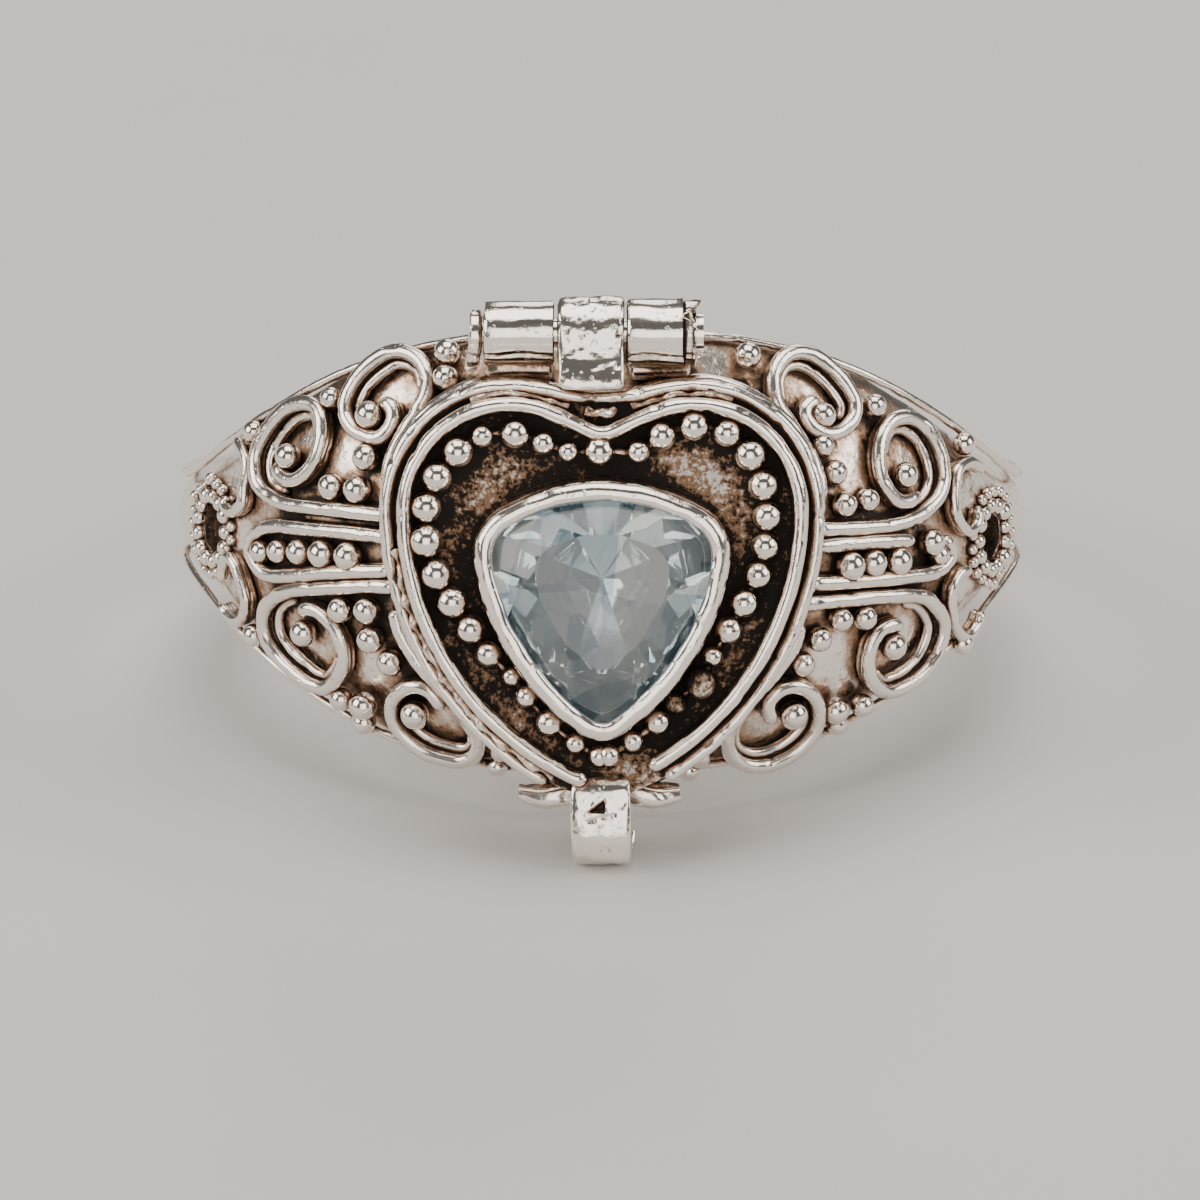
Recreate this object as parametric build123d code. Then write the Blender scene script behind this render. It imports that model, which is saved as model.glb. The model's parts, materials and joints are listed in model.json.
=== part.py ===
from build123d import *
import math
import os

# A heart-topped poison ring in oxidised silver: a finger ring whose face is a small
# heart-shaped box with a hinged lid, a bezel-set trillion stone on the lid, and
# shoulders covered in soldered scroll wires and granules.
# Lengths are in millimetres. The ring is first drawn upright about the finger axis Z,
# with its face towards -Y, and is then tipped into the pose in which it lies at rest.

# Finger hole, shoulders and shank
FINGER_R = 8.9
SHOULDER_R = 11.1
PLATE_HALF_HEIGHT = 5.6
PLATE_FLAT_X = 3.0
SHOULDER_MID = (7.4, 3.95)
SHOULDER_END_X = 10.7
SHOULDER_SIDE_ARC = ((2.2, 1.15), (5.3, 2.75), (7.4, 5.2))
SHANK_HALF_WIDTH = 1.15
SHANK_OUTER_R = 11.02
SHANK_OFFSET = 0.72
SHANK_CROWN = 0.35
MID_Z = -0.1

# Heart outline, drawn on the centre line of the lid's rim wire
LOBE_X = 2.3
LOBE_Z = 1.5
LOBE_R = 2.65
CLEFT_SLOPE = 22.4
CLEFT_FILLET = 1.4
HEART_SIDE_R = 7.45
HEART_TIP_Z = -5.25
TIP_FILLET = 0.45

# Compartment box under the lid; depths are measured from the finger axis towards the face
BOX_OUTSET = 0.5
BOX_INSET = 0.25
BOX_ROOT = 9.1
BOX_FLOOR = 9.9
BOX_RIM = 12.2
LOWER_WIRE_OUTSET = 0.6
LOWER_WIRE_DEPTH = 11.85

# Lid
LID_BACK = 12.32
LID_FIELD = 12.8
LID_OUTSET = 0.42
LID_OUTER_WIRE_R = 0.2
RIM_WIRE_R = 0.27
RIM_WIRE_DEPTH = 13.0

# Scroll wires and granules
WIRE_R = 0.23
BAR_WIRE_R = 0.21
WIRE_LIFT = 0.1
GRANULE_R = 0.33
GRANULE_LIFT = 0.2

# Stone: three corner circles joined by arcs
STONE_CORNER_X = 1.82
STONE_CORNER_Z = 0.42
STONE_CORNER_R = 1.05
STONE_TIP_Z = -3.26
STONE_TIP_R = 0.6
STONE_TOP_R = 4.6
STONE_SIDE_R = 6.2
STONE_CULET_Z = -0.25
GIRDLE_DEPTH = 13.55
GIRDLE_HALF = 0.06
TABLE_DEPTH = 14.3
PAVILION = 2.0
STONE_SIDES = 9
TABLE_SHARE = 0.58
STAR_ANGLE = 19
UPPER_ANGLE = 41
LOWER_EXTRA_ANGLE = 3.5
CULET_TRIM = 0.05

# Bezel
BEZEL_GAP = 0.04
BEZEL_WALL = 0.3
BEZEL_TOP = 14.02
LEDGE_TOP = 13.1
LEDGE_INSET = 0.27
LIP_INSET = 0.14
LIP_ROOT = 13.86

# Hinge along the top edge
HINGE_Z = 5.82
HINGE_DEPTH = 11.9
KNUCKLE_R = 0.88
LID_KNUCKLE_R = 0.96
PIN_R = 0.36
PIN_CLEARANCE = 0.07
LEFT_KNUCKLE = (-2.95, -1.2)
LID_KNUCKLE = (-1.12, 0.56)
RIGHT_KNUCKLE = (0.64, 2.3)
RIVET_R = 0.5
RIVET_LENGTH = 0.18
STRAP = 0.36

# Clasp at the tip of the heart
HOOK_HALF_WIDTH = 0.8
HOOK_R = 0.93
HOOK_METAL = 0.38
HOOK_Z = -6.64
HOOK_DEPTH = 12.2
HOOK_TOP_Z = -5.3
CATCH_HALF_WIDTH = 2.0
CATCH_Z = -5.62
CATCH_METAL = 0.34
CATCH_DROOP = 0.38
CATCH_DEPTHS = (10.9, 12.1)

# Resting pose
REST_FLAT = 0.03

# Scrolls of the right shoulder: centre x and z, angle where the spiral starts,
# turning hand (1 anticlockwise, -1 clockwise) and the radius of each half turn
SCROLLS = [
    (5.38, 3.88, 232, -1, (1.17, 0.91, 0.5)),
    (7.78, 2.2, -90, 1, (1.2, 0.95, 0.58)),
    (7.72, -2.5, 90, -1, (1.2, 0.95, 0.58)),
    (4.5, -4.35, 150, 1, (1.15, 0.89, 0.5)),
    (9.42, 1.2, -110, 1, (0.78, 0.62)),
    (9.42, -1.5, 110, -1, (0.78, 0.62)),
]

# Bars from the heart to the scrolls: height, inner x and outer x
BARS = [
    (1.02, 4.9, 7.8),
    (0.44, 4.9, 8.4),
    (-0.64, 4.9, 8.4),
    (-1.3, 4.7, 7.74),
]

# Granules on one shoulder: x, z and radius
SHOULDER_GRANULES = [
    (3.8, 5.0, 0.33), (3.98, 4.4, 0.3), (6.9, 3.72, 0.3), (8.98, 2.72, 0.28),
    (5.85, 2.3, 0.33), (6.15, 1.55, 0.33), (6.82, 1.52, 0.33),
    (6.0, -1.85, 0.33), (6.64, -1.87, 0.33), (5.72, -2.48, 0.33), (5.25, -3.05, 0.33),
    (6.62, -4.12, 0.33), (6.0, -4.2, 0.33), (8.98, -3.0, 0.28),
    (2.62, -5.15, 0.25),
    (5.5, 3.55, 0.33), (7.8, 2.05, 0.33), (7.72, -2.4, 0.33), (4.72, -4.22, 0.33),
    (9.45, 1.2, 0.25), (9.45, -1.5, 0.25),
]
CHANNEL_GRANULE_X = (6.15, 6.82, 7.46, 8.04, 8.5)

# Granules on the lid: how many, how far inside the rim wire, and their radius
LID_GRANULES = 34
LID_GRANULE_INSET = 0.66
LID_GRANULE_R = 0.31

# Windows cut in the ends of the shoulders
WINDOW_X = 10.15
WINDOW_R = 0.62
WINDOW_DEPTH = 0.9


# Side view: first axis towards the face, second axis up
SIDE_PLANE = Plane(origin=(0, 0, 0), x_dir=(0, -1, 0), z_dir=(-1, 0, 0))


def direction(degrees):
    """Unit vector in a sketch plane."""
    return Vector(math.cos(math.radians(degrees)), math.sin(math.radians(degrees)))


def face_plane(depth):
    """Upright plane that looks out of the face, at a depth from the finger axis."""
    return Plane.XZ.offset(depth)


def slab(face, depth_from, depth_to):
    """Extrude a flat outline from one depth to another."""
    return extrude(face_plane(depth_from) * face, depth_to - depth_from)


def on_sphere(radius, x, z):
    """Point on the sphere that the shoulders follow."""
    return Vector(x, -math.sqrt(radius**2 - x**2 - z**2), z)


def tangent_plane(radius, x, z):
    """Plane that touches the shoulders' sphere, its x direction level."""
    point = on_sphere(radius, x, z)
    return Plane(origin=point, x_dir=(-point.Y, point.X, 0), z_dir=point)


def swept_wire(path, wire_radius):
    """Round wire along a tangent-continuous path."""
    start = Plane(origin=path @ 0, z_dir=path % 0)
    return sweep(start * Circle(wire_radius), path=path)


def both_sides(shape):
    """A piece of the right side together with its mirror image."""
    return [shape, mirror(shape, about=Plane.YZ)]


def heart(outset):
    """Heart outline as a flat face, moved outwards by outset."""
    lean = direction(90 + CLEFT_SLOPE)
    lobe = Vector(LOBE_X, LOBE_Z)
    lobe_start = lobe + lean * LOBE_R
    cleft = Vector(0, lobe_start.Y - lobe_start.X * math.tan(math.radians(CLEFT_SLOPE)))
    widest = Vector(LOBE_X + LOBE_R, LOBE_Z)
    side_centre_x = widest.X - HEART_SIDE_R
    rise = HEART_TIP_Z - LOBE_Z
    tip = Vector(side_centre_x + math.sqrt(HEART_SIDE_R**2 - rise**2), HEART_TIP_Z)
    half_rise = HEART_TIP_Z / 2
    side_mid = Vector(side_centre_x + math.sqrt(HEART_SIDE_R**2 - (half_rise - LOBE_Z)**2), half_rise)
    half = [
        Line(cleft, lobe_start),
        ThreePointArc(lobe_start, lobe + Vector(0, LOBE_R), widest),
        ThreePointArc(widest, side_mid, tip),
        Line(tip, (0, HEART_TIP_Z)),
    ]
    face = make_face(half + [mirror(edge, about=Plane.YZ) for edge in half])
    sharp = [v for v in face.vertices() if abs(v.X) < 0.01 and v.Y > 0]
    face = fillet(sharp, CLEFT_FILLET)
    corners = [v for v in face.vertices() if abs(v.Y - HEART_TIP_Z) < 0.01 and abs(v.X) > 0.1]
    face = fillet(corners, TIP_FILLET)
    if outset == 0:
        return face
    return offset(face, outset)


def heart_wire(outset, depth, wire_radius):
    """Round wire all the way round the heart."""
    path = face_plane(depth) * heart(outset).faces()[0].outer_wire()
    return swept_wire(path, wire_radius)


def joining_arc(centre_a, radius_a, centre_b, radius_b, big_radius):
    """Arc that wraps two corner circles, anticlockwise from the first to the second."""
    to_a = big_radius - radius_a
    to_b = big_radius - radius_b
    apart = centre_b - centre_a
    along = (to_a**2 - to_b**2 + apart.length**2) / (2 * apart.length)
    across = math.sqrt(to_a**2 - along**2)
    unit = apart.normalized()
    centre = centre_a + unit * along + Vector(-unit.Y, unit.X) * across
    start = centre + (centre_a - centre).normalized() * big_radius
    end = centre + (centre_b - centre).normalized() * big_radius
    middle = centre + ((start + end) * 0.5 - centre).normalized() * big_radius
    return start, middle, end


def stone_outline(outset):
    """Rounded triangle of the stone's girdle, moved outwards by outset."""
    corners = [
        (Vector(STONE_CORNER_X, STONE_CORNER_Z), STONE_CORNER_R + outset, STONE_TOP_R + outset),
        (Vector(-STONE_CORNER_X, STONE_CORNER_Z), STONE_CORNER_R + outset, STONE_SIDE_R + outset),
        (Vector(0, STONE_TIP_Z), STONE_TIP_R + outset, STONE_SIDE_R + outset),
    ]
    arcs = []
    for index, (centre, radius, big_radius) in enumerate(corners):
        next_centre, next_radius, _ = corners[(index + 1) % 3]
        arcs.append(joining_arc(centre, radius, next_centre, next_radius, big_radius))
    edges = []
    for index, (start, middle, end) in enumerate(arcs):
        edges.append(ThreePointArc(start, middle, end))
        centre, radius, _ = corners[(index + 1) % 3]
        next_start = arcs[(index + 1) % 3][0]
        outward = ((end + next_start) * 0.5 - centre).normalized()
        edges.append(ThreePointArc(end, centre + outward * radius, next_start))
    return make_face(edges)


def shoulders():
    """Front half: a shell between the finger hole and a sphere, cut to its outline."""
    half = [
        Line((0, PLATE_HALF_HEIGHT), (PLATE_FLAT_X, PLATE_HALF_HEIGHT)),
        ThreePointArc((PLATE_FLAT_X, PLATE_HALF_HEIGHT), SHOULDER_MID, (SHOULDER_END_X, SHANK_HALF_WIDTH)),
        Line((SHOULDER_END_X, SHANK_HALF_WIDTH), (SHOULDER_R + 1, SHANK_HALF_WIDTH)),
        Line((SHOULDER_R + 1, SHANK_HALF_WIDTH), (SHOULDER_R + 1, 0)),
    ]
    upper = half + [mirror(edge, about=Plane.YZ) for edge in half]
    outline = make_face(upper + [mirror(edge, about=Plane.XZ) for edge in upper])
    start, middle, end = SHOULDER_SIDE_ARC
    far = (SHOULDER_R + 1, PLATE_HALF_HEIGHT + 1)
    upper = [
        Line((0, start[1]), start),
        ThreePointArc(start, middle, end),
        Line(end, (end[0], far[1])),
        Line((end[0], far[1]), far),
        Line(far, (far[0], 0)),
    ]
    lower = [mirror(edge, about=Plane.XZ) for edge in upper]
    side_outline = make_face(upper + lower + [Line((0, -start[1]), (0, start[1]))])
    side_cut = extrude(SIDE_PLANE * side_outline, SHOULDER_R + 1, both=True)
    return Sphere(SHOULDER_R) & slab(outline, 0, SHOULDER_R + 1) & side_cut


def shank():
    """Rear half: a band with a crowned outside, thinner at the back."""
    inner = FINGER_R - 2
    edge_r = SHANK_OUTER_R - SHANK_CROWN
    profile = make_face([
        Line((inner, -SHANK_HALF_WIDTH), (edge_r, -SHANK_HALF_WIDTH)),
        ThreePointArc((edge_r, -SHANK_HALF_WIDTH), (SHANK_OUTER_R, 0), (edge_r, SHANK_HALF_WIDTH)),
        Line((edge_r, SHANK_HALF_WIDTH), (inner, SHANK_HALF_WIDTH)),
        Line((inner, SHANK_HALF_WIDTH), (inner, -SHANK_HALF_WIDTH)),
    ])
    band = revolve(Plane.XZ * profile, Axis.Z)
    size = 4 * SHOULDER_R
    rear = Pos(0, size / 2 - SHANK_OFFSET / 2, 0) * Box(size, size, size)
    return Pos(0, -SHANK_OFFSET, 0) * band & rear


def volute(x, z, start_angle, hand, radii):
    """Spiral wire of half turns on the shoulder."""
    centre = Vector(0, 0)
    angle = start_angle
    edges = []
    for index, radius in enumerate(radii):
        edges.append(CenterArc(centre, radius, angle, 180 * hand))
        angle += 180 * hand
        if index + 1 < len(radii):
            centre = centre + direction(angle) * (radius - radii[index + 1])
    path = tangent_plane(SHOULDER_R + WIRE_LIFT, x, z) * Wire(edges)
    return swept_wire(path, WIRE_R)


def bar(height, inner_x, outer_x):
    """Wire that follows the shoulder at one height."""
    ring_r = math.sqrt((SHOULDER_R + WIRE_LIFT)**2 - height**2)
    start = math.degrees(math.asin(inner_x / ring_r)) - 90
    sweep_angle = math.degrees(math.asin(outer_x / ring_r)) - 90 - start
    path = Wire([Pos(0, 0, height) * CenterArc((0, 0), ring_r, start, sweep_angle)])
    return swept_wire(path, BAR_WIRE_R)


def channel_end():
    """Round end that joins the two middle bars."""
    top, bottom = BARS[1], BARS[2]
    radius = (top[0] - bottom[0]) / 2
    plane = tangent_plane(SHOULDER_R + WIRE_LIFT, top[2], (top[0] + bottom[0]) / 2)
    return swept_wire(plane * Wire([CenterArc((-0.03, 0), radius, -90, 180)]), WIRE_R)


def granule(x, z, radius):
    """Ball soldered to the shoulder."""
    return Pos(on_sphere(SHOULDER_R + GRANULE_LIFT, x, z)) * Sphere(radius)


def shoulder_ornament():
    """Wires and granules of both shoulders."""
    right = [volute(*row) for row in SCROLLS]
    right += [bar(*row) for row in BARS]
    right.append(channel_end())
    right += [granule(*row) for row in SHOULDER_GRANULES]
    right += [granule(x, MID_Z, GRANULE_R - 0.02) for x in CHANNEL_GRANULE_X]
    return [piece for one in right for piece in both_sides(one)]


def windows():
    """Triangular pockets near the ends of the shoulders."""
    plane = tangent_plane(SHOULDER_R, WINDOW_X, MID_Z)
    triangle = fillet(RegularPolygon(WINDOW_R, 3, rotation=180).vertices(), 0.12)
    pocket = extrude(plane * triangle, WINDOW_DEPTH, both=True)
    return both_sides(pocket)


def knuckle(span, radius):
    """Hinge tube between two x positions."""
    length = span[1] - span[0]
    return Pos(sum(span) / 2, -HINGE_DEPTH, HINGE_Z) * Rot(0, 90, 0) * Cylinder(radius, length)


def hinge_legs():
    """Metal that carries each outer knuckle on the box wall and the plate."""
    legs = []
    for span in (LEFT_KNUCKLE, RIGHT_KNUCKLE):
        bottom = LOBE_Z + LOBE_R - 0.8
        leg = Pos(sum(span) / 2, -(BOX_ROOT + HINGE_DEPTH) / 2, (bottom + HINGE_Z) / 2)
        legs.append(leg * Box(span[1] - span[0], HINGE_DEPTH - BOX_ROOT, HINGE_Z - bottom))
    return legs


def catch():
    """Drooping strip under the tip of the box, which the clasp grips."""
    depth_from, depth_to = CATCH_DEPTHS
    end_z = CATCH_Z - CATCH_DROOP
    middle = ThreePointArc((-CATCH_HALF_WIDTH, end_z), (0, CATCH_Z), (CATCH_HALF_WIDTH, end_z))
    strip = trace(middle, CATCH_METAL)
    return slab(strip, depth_from, depth_to)


def ring_body():
    """Shank, shoulders, compartment, ornament, outer knuckles and catch, as soldered."""
    bore = Cylinder(FINGER_R, 4 * SHOULDER_R)
    metal = shoulders() + shank()
    metal += slab(heart(BOX_OUTSET), BOX_ROOT, BOX_RIM)
    metal += heart_wire(LOWER_WIRE_OUTSET, LOWER_WIRE_DEPTH, LID_OUTER_WIRE_R)
    metal += catch()
    metal += hinge_legs()
    metal += [knuckle(span, KNUCKLE_R) for span in (LEFT_KNUCKLE, RIGHT_KNUCKLE)]
    metal -= bore
    for piece in shoulder_ornament():
        metal = metal.fuse(piece)
    metal -= windows()
    metal -= slab(heart(-BOX_INSET), BOX_FLOOR, BOX_RIM + 1)
    metal -= knuckle((LEFT_KNUCKLE[0] - 1, RIGHT_KNUCKLE[1] + 1), PIN_R + PIN_CLEARANCE)
    metal -= knuckle((LEFT_KNUCKLE[1], RIGHT_KNUCKLE[0]), LID_KNUCKLE_R + 0.15)
    return metal


def hinge_pin():
    """Wire through the knuckles with a riveted head at each end."""
    left, right = LEFT_KNUCKLE[0] - 0.05, RIGHT_KNUCKLE[1] + 0.05
    pin = knuckle((left, right), PIN_R)
    pin += knuckle((left - RIVET_LENGTH, left), RIVET_R)
    pin += knuckle((right, right + RIVET_LENGTH), RIVET_R)
    return pin


def bezel():
    """Wall, ledge and lip that hold the stone."""
    outer = stone_outline(BEZEL_GAP + BEZEL_WALL)
    wall = slab(outer, LID_BACK, BEZEL_TOP)
    wall -= slab(stone_outline(BEZEL_GAP), LEDGE_TOP, LIP_ROOT)
    wall -= slab(stone_outline(-LIP_INSET), LIP_ROOT, BEZEL_TOP + 1)
    return wall


def lid_granules():
    """Ring of balls just inside the rim wire."""
    line = heart(-LID_GRANULE_INSET).faces()[0].outer_wire()
    balls = []
    for index in range(LID_GRANULES):
        spot = line.position_at(index / LID_GRANULES)
        balls.append(Pos(spot.X, -(LID_FIELD + 0.22), spot.Y) * Sphere(LID_GRANULE_R))
    return balls


def clasp_hook():
    """Strip that runs over the tip and rolls back under the catch."""
    centre = Vector(HOOK_DEPTH, HOOK_Z)
    inner_r = HOOK_R - HOOK_METAL
    front = HOOK_DEPTH + HOOK_R
    back = HOOK_DEPTH - HOOK_R
    profile = make_face([
        Line((front, HOOK_TOP_Z), (front, HOOK_Z)),
        ThreePointArc((front, HOOK_Z), centre - Vector(0, HOOK_R), (back, HOOK_Z)),
        Line((back, HOOK_Z), (back + HOOK_METAL, HOOK_Z)),
        ThreePointArc((back + HOOK_METAL, HOOK_Z), centre - Vector(0, inner_r), (front - HOOK_METAL, HOOK_Z)),
        Line((front - HOOK_METAL, HOOK_Z), (front - HOOK_METAL, HOOK_TOP_Z)),
        Line((front - HOOK_METAL, HOOK_TOP_Z), (front, HOOK_TOP_Z)),
    ])
    return extrude(SIDE_PLANE * profile, HOOK_HALF_WIDTH, both=True)


def lid():
    """Plate, wires, bezel, granules, middle knuckle with its strap, and clasp."""
    metal = slab(heart(LID_OUTSET), LID_BACK, LID_FIELD)
    metal += heart_wire(LID_OUTSET, LID_FIELD - 0.03, LID_OUTER_WIRE_R)
    metal += heart_wire(0, RIM_WIRE_DEPTH, RIM_WIRE_R)
    metal += bezel()
    metal += clasp_hook()
    metal += knuckle(LID_KNUCKLE, LID_KNUCKLE_R)
    width = LID_KNUCKLE[1] - LID_KNUCKLE[0]
    front = HINGE_DEPTH + LID_KNUCKLE_R
    strap_end = LOBE_Z + LOBE_R - 0.25
    strap = Pos(sum(LID_KNUCKLE) / 2, -(front - STRAP / 2), (HINGE_Z + strap_end) / 2)
    metal += strap * Box(width, STRAP, HINGE_Z - strap_end)
    metal = metal.fuse(*lid_granules())
    metal -= slab(stone_outline(-LEDGE_INSET), LID_BACK - 1, LEDGE_TOP + 0.5)
    metal -= knuckle((LID_KNUCKLE[0] - 1, LID_KNUCKLE[1] + 1), PIN_R + PIN_CLEARANCE)
    return metal


def stone_reach(degrees, outline):
    """How far the girdle outline reaches from the culet, square to a direction."""
    way = direction(degrees)
    return max(spot.X * way.X + (spot.Y - STONE_CULET_Z) * way.Y for spot in outline)


def facet_cut(solid, degrees, reach, depth, slope):
    """Remove what lies outside one facet, which passes at a reach from the culet at a depth;
    a negative slope cuts the pavilion."""
    way = direction(degrees)
    tilt = math.radians(abs(slope))
    sign = 1 if slope > 0 else -1
    spot = Vector(way.X * reach, -depth, STONE_CULET_Z + way.Y * reach)
    normal = Vector(way.X * math.sin(tilt), -sign * math.cos(tilt), way.Y * math.sin(tilt))
    half_space = Plane(origin=spot, z_dir=normal) * Pos(0, 0, 10) * Box(40, 40, 20)
    return solid - half_space


def stone():
    """Brilliant-cut rounded triangle, whose facets lean so that they meet the table and the culet."""
    outline = [edge @ (part / 20) for edge in stone_outline(0).edges() for part in range(21)]
    gem = slab(stone_outline(0), GIRDLE_DEPTH - PAVILION, TABLE_DEPTH)
    crown_depth = GIRDLE_DEPTH + GIRDLE_HALF
    lower_depth = GIRDLE_DEPTH - GIRDLE_HALF
    below = lower_depth - GIRDLE_DEPTH + PAVILION + CULET_TRIM
    step = 360 / STONE_SIDES
    for index in range(STONE_SIDES):
        at = 90 + index * step
        reach = stone_reach(at, outline)
        crown_slope = math.degrees(math.atan2(TABLE_DEPTH - crown_depth, reach * (1 - TABLE_SHARE)))
        gem = facet_cut(gem, at, reach, crown_depth, crown_slope)
        gem = facet_cut(gem, at, reach, lower_depth, -math.degrees(math.atan2(below, reach)))
        between = at + step / 2
        gem = facet_cut(gem, between, stone_reach(between, outline) * TABLE_SHARE, TABLE_DEPTH, STAR_ANGLE)
        for side in (-0.27, 0.27):
            turn = at + side * step
            reach = stone_reach(turn, outline)
            pavilion_slope = math.degrees(math.atan2(below, reach)) + LOWER_EXTRA_ANGLE
            gem = facet_cut(gem, turn, reach, crown_depth, UPPER_ANGLE)
            gem = facet_cut(gem, turn, reach, lower_depth, -pavilion_slope)
    return gem


def rest_tilt():
    """Angle about X at which the clasp and the rear of the shank both touch the ground."""
    run = HOOK_DEPTH + SHANK_OUTER_R - SHANK_OFFSET - SHANK_CROWN
    drop = -HOOK_Z - SHANK_HALF_WIDTH
    return math.degrees(math.atan2(drop, run) + math.asin(HOOK_R / math.hypot(drop, run)))


def laid_down(shape, flat=False):
    """Tip a piece into its resting pose and lift it onto the ground plane."""
    tilt = rest_tilt()
    lean = math.radians(tilt)
    height = HOOK_R - HOOK_DEPTH * math.sin(lean) - HOOK_Z * math.cos(lean) - REST_FLAT
    placed = Pos(0, 0, height) * Rot(-tilt, 0, 0) * shape
    if flat:
        placed -= Pos(0, 0, -5) * Box(60, 60, 10)
    return placed


laid = {
    "ring_body": laid_down(ring_body(), flat=True),
    "hinge_pin": laid_down(hinge_pin()),
    "lid": laid_down(lid(), flat=True),
    "stone": laid_down(stone()),
}
front = min(piece.bounding_box().min.Y for piece in laid.values())
back = max(piece.bounding_box().max.Y for piece in laid.values())

os.makedirs("parts", exist_ok=True)
for name, piece in laid.items():
    centred = Pos(0, -(front + back) / 2, 0) * piece
    export_step(centred, f"parts/{name}.step")
    print(name, "volume", round(centred.volume, 2), "solids", len(centred.solids()))
print("tilt", round(rest_tilt(), 3), "shift in Y", round(-(front + back) / 2, 4))
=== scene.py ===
# %% [markdown]
# # A poison ring with a heart-shaped lid
# The real ring is soldered from silver sheet, wire and little balls called granules. It is
# dipped in an oxidising bath, which turns it brown-black, and then polished, so that only the
# high places shine. The CAD model gives the frame: where the band, the lid, the hinge and the
# stone are. This lesson dresses that frame, one goldsmith's step at a time.

# %% Load the frame
import json
import math

import bmesh
import bpy
from mathutils import Matrix, Quaternion, Vector, noise
from mathutils.bvhtree import BVHTree


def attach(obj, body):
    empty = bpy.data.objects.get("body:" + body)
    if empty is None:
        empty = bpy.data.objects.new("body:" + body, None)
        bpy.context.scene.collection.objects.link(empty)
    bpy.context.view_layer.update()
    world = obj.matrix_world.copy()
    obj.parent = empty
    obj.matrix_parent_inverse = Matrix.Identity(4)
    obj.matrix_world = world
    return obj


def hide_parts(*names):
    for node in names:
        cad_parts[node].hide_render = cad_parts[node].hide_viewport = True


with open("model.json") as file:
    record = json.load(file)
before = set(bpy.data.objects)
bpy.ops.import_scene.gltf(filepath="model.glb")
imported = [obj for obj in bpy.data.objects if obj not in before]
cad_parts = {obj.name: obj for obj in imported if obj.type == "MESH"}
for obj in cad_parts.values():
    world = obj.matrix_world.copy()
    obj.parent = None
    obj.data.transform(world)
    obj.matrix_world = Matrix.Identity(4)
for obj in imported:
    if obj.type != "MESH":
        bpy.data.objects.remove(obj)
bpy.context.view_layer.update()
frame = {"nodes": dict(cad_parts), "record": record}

# %% [markdown]
# ## One upright drawing, laid down at the end
# The ring lies tipped back, with its clasp and the rear of its shank on the ground. It is much
# easier to draw upright, in millimetres, about the finger axis Z with the face towards -Y. The
# finger hole in the record says where that upright drawing belongs, so one matrix places it all.

# %% The placing matrix
bore = next(m for m in frame["record"]["mounts"] if m["name"] == "finger_bore")
finger_axis = Vector(bore["axis"])
REST_LEAN = math.atan2(finger_axis.y, finger_axis.z)
RING_CENTRE = Vector(bore["pos_m"])
MM = 0.001
PLACE = Matrix.Translation(RING_CENTRE) @ Matrix.Rotation(-REST_LEAN, 4, "X") @ Matrix.Scale(MM, 4)
FINGER_R = bore["dims"]["r_mm"]
print("The ring leans back by", round(math.degrees(REST_LEAN), 2), "degrees")

# %% [markdown]
# ## The camera
# The photograph looks down on the ring's equator by a few degrees, through a long lens. The
# aim is worked out from where the ring's centre falls in the picture, which is 1200 pixels wide
# and high, and from how many of its pixels cover a millimetre at that centre.

# %% Camera
PICTURE = 1200
CENTRE_PIXEL = (602, 506)
PIXELS_PER_MM = 38.4
ABOVE_EQUATOR = math.radians(7.5)
CAMERA_MM = 300
SENSOR_MM = 36

elevation = REST_LEAN + ABOVE_EQUATOR
look = Vector((0, math.cos(elevation), -math.sin(elevation)))
right_hand = Vector((1, 0, 0))
upwards = right_hand.cross(look)
aim_right = (PICTURE / 2 - CENTRE_PIXEL[0]) / PIXELS_PER_MM
aim_down = (PICTURE / 2 - CENTRE_PIXEL[1]) / PIXELS_PER_MM
camera_data = bpy.data.cameras.new("camera")
camera_data.sensor_width = SENSOR_MM
camera_data.lens = SENSOR_MM * CAMERA_MM * PIXELS_PER_MM / PICTURE
camera_data.clip_start = 0.01
camera_data.clip_end = 5
camera = bpy.data.objects.new("camera", camera_data)
bpy.context.scene.collection.objects.link(camera)
aim = RING_CENTRE + (right_hand * aim_right - upwards * aim_down) * MM
camera.matrix_world = Matrix.Translation(aim - look * CAMERA_MM * MM) @ Matrix(
    (right_hand, upwards, -look)).transposed().to_4x4()
bpy.context.scene.camera = camera
print("Camera elevation", round(math.degrees(elevation), 1), "lens", round(camera_data.lens), "mm")

# %% [markdown]
# ## Shader sums written as Python
# A finish is a few masks added and multiplied. Wrapping a socket in a small class lets those sums
# read as ordinary Python: every operator adds the Math node that does it.

# %% Shader helper
class Mask:
    """A number that varies over a surface; sums on it add Math nodes."""

    def __init__(self, shader, socket):
        self.shader = shader
        self.socket = socket

    def sum(self, operation, first, second):
        node = self.shader.node("ShaderNodeMath", {"operation": operation}, {0: first, 1: second})
        return Mask(self.shader, node.outputs[0])

    def __add__(self, other):
        return self.sum("ADD", self, other)

    def __radd__(self, other):
        return self.sum("ADD", other, self)

    def __sub__(self, other):
        return self.sum("SUBTRACT", self, other)

    def __rsub__(self, other):
        return self.sum("SUBTRACT", other, self)

    def __mul__(self, other):
        return self.sum("MULTIPLY", self, other)

    def __rmul__(self, other):
        return self.sum("MULTIPLY", other, self)


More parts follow.
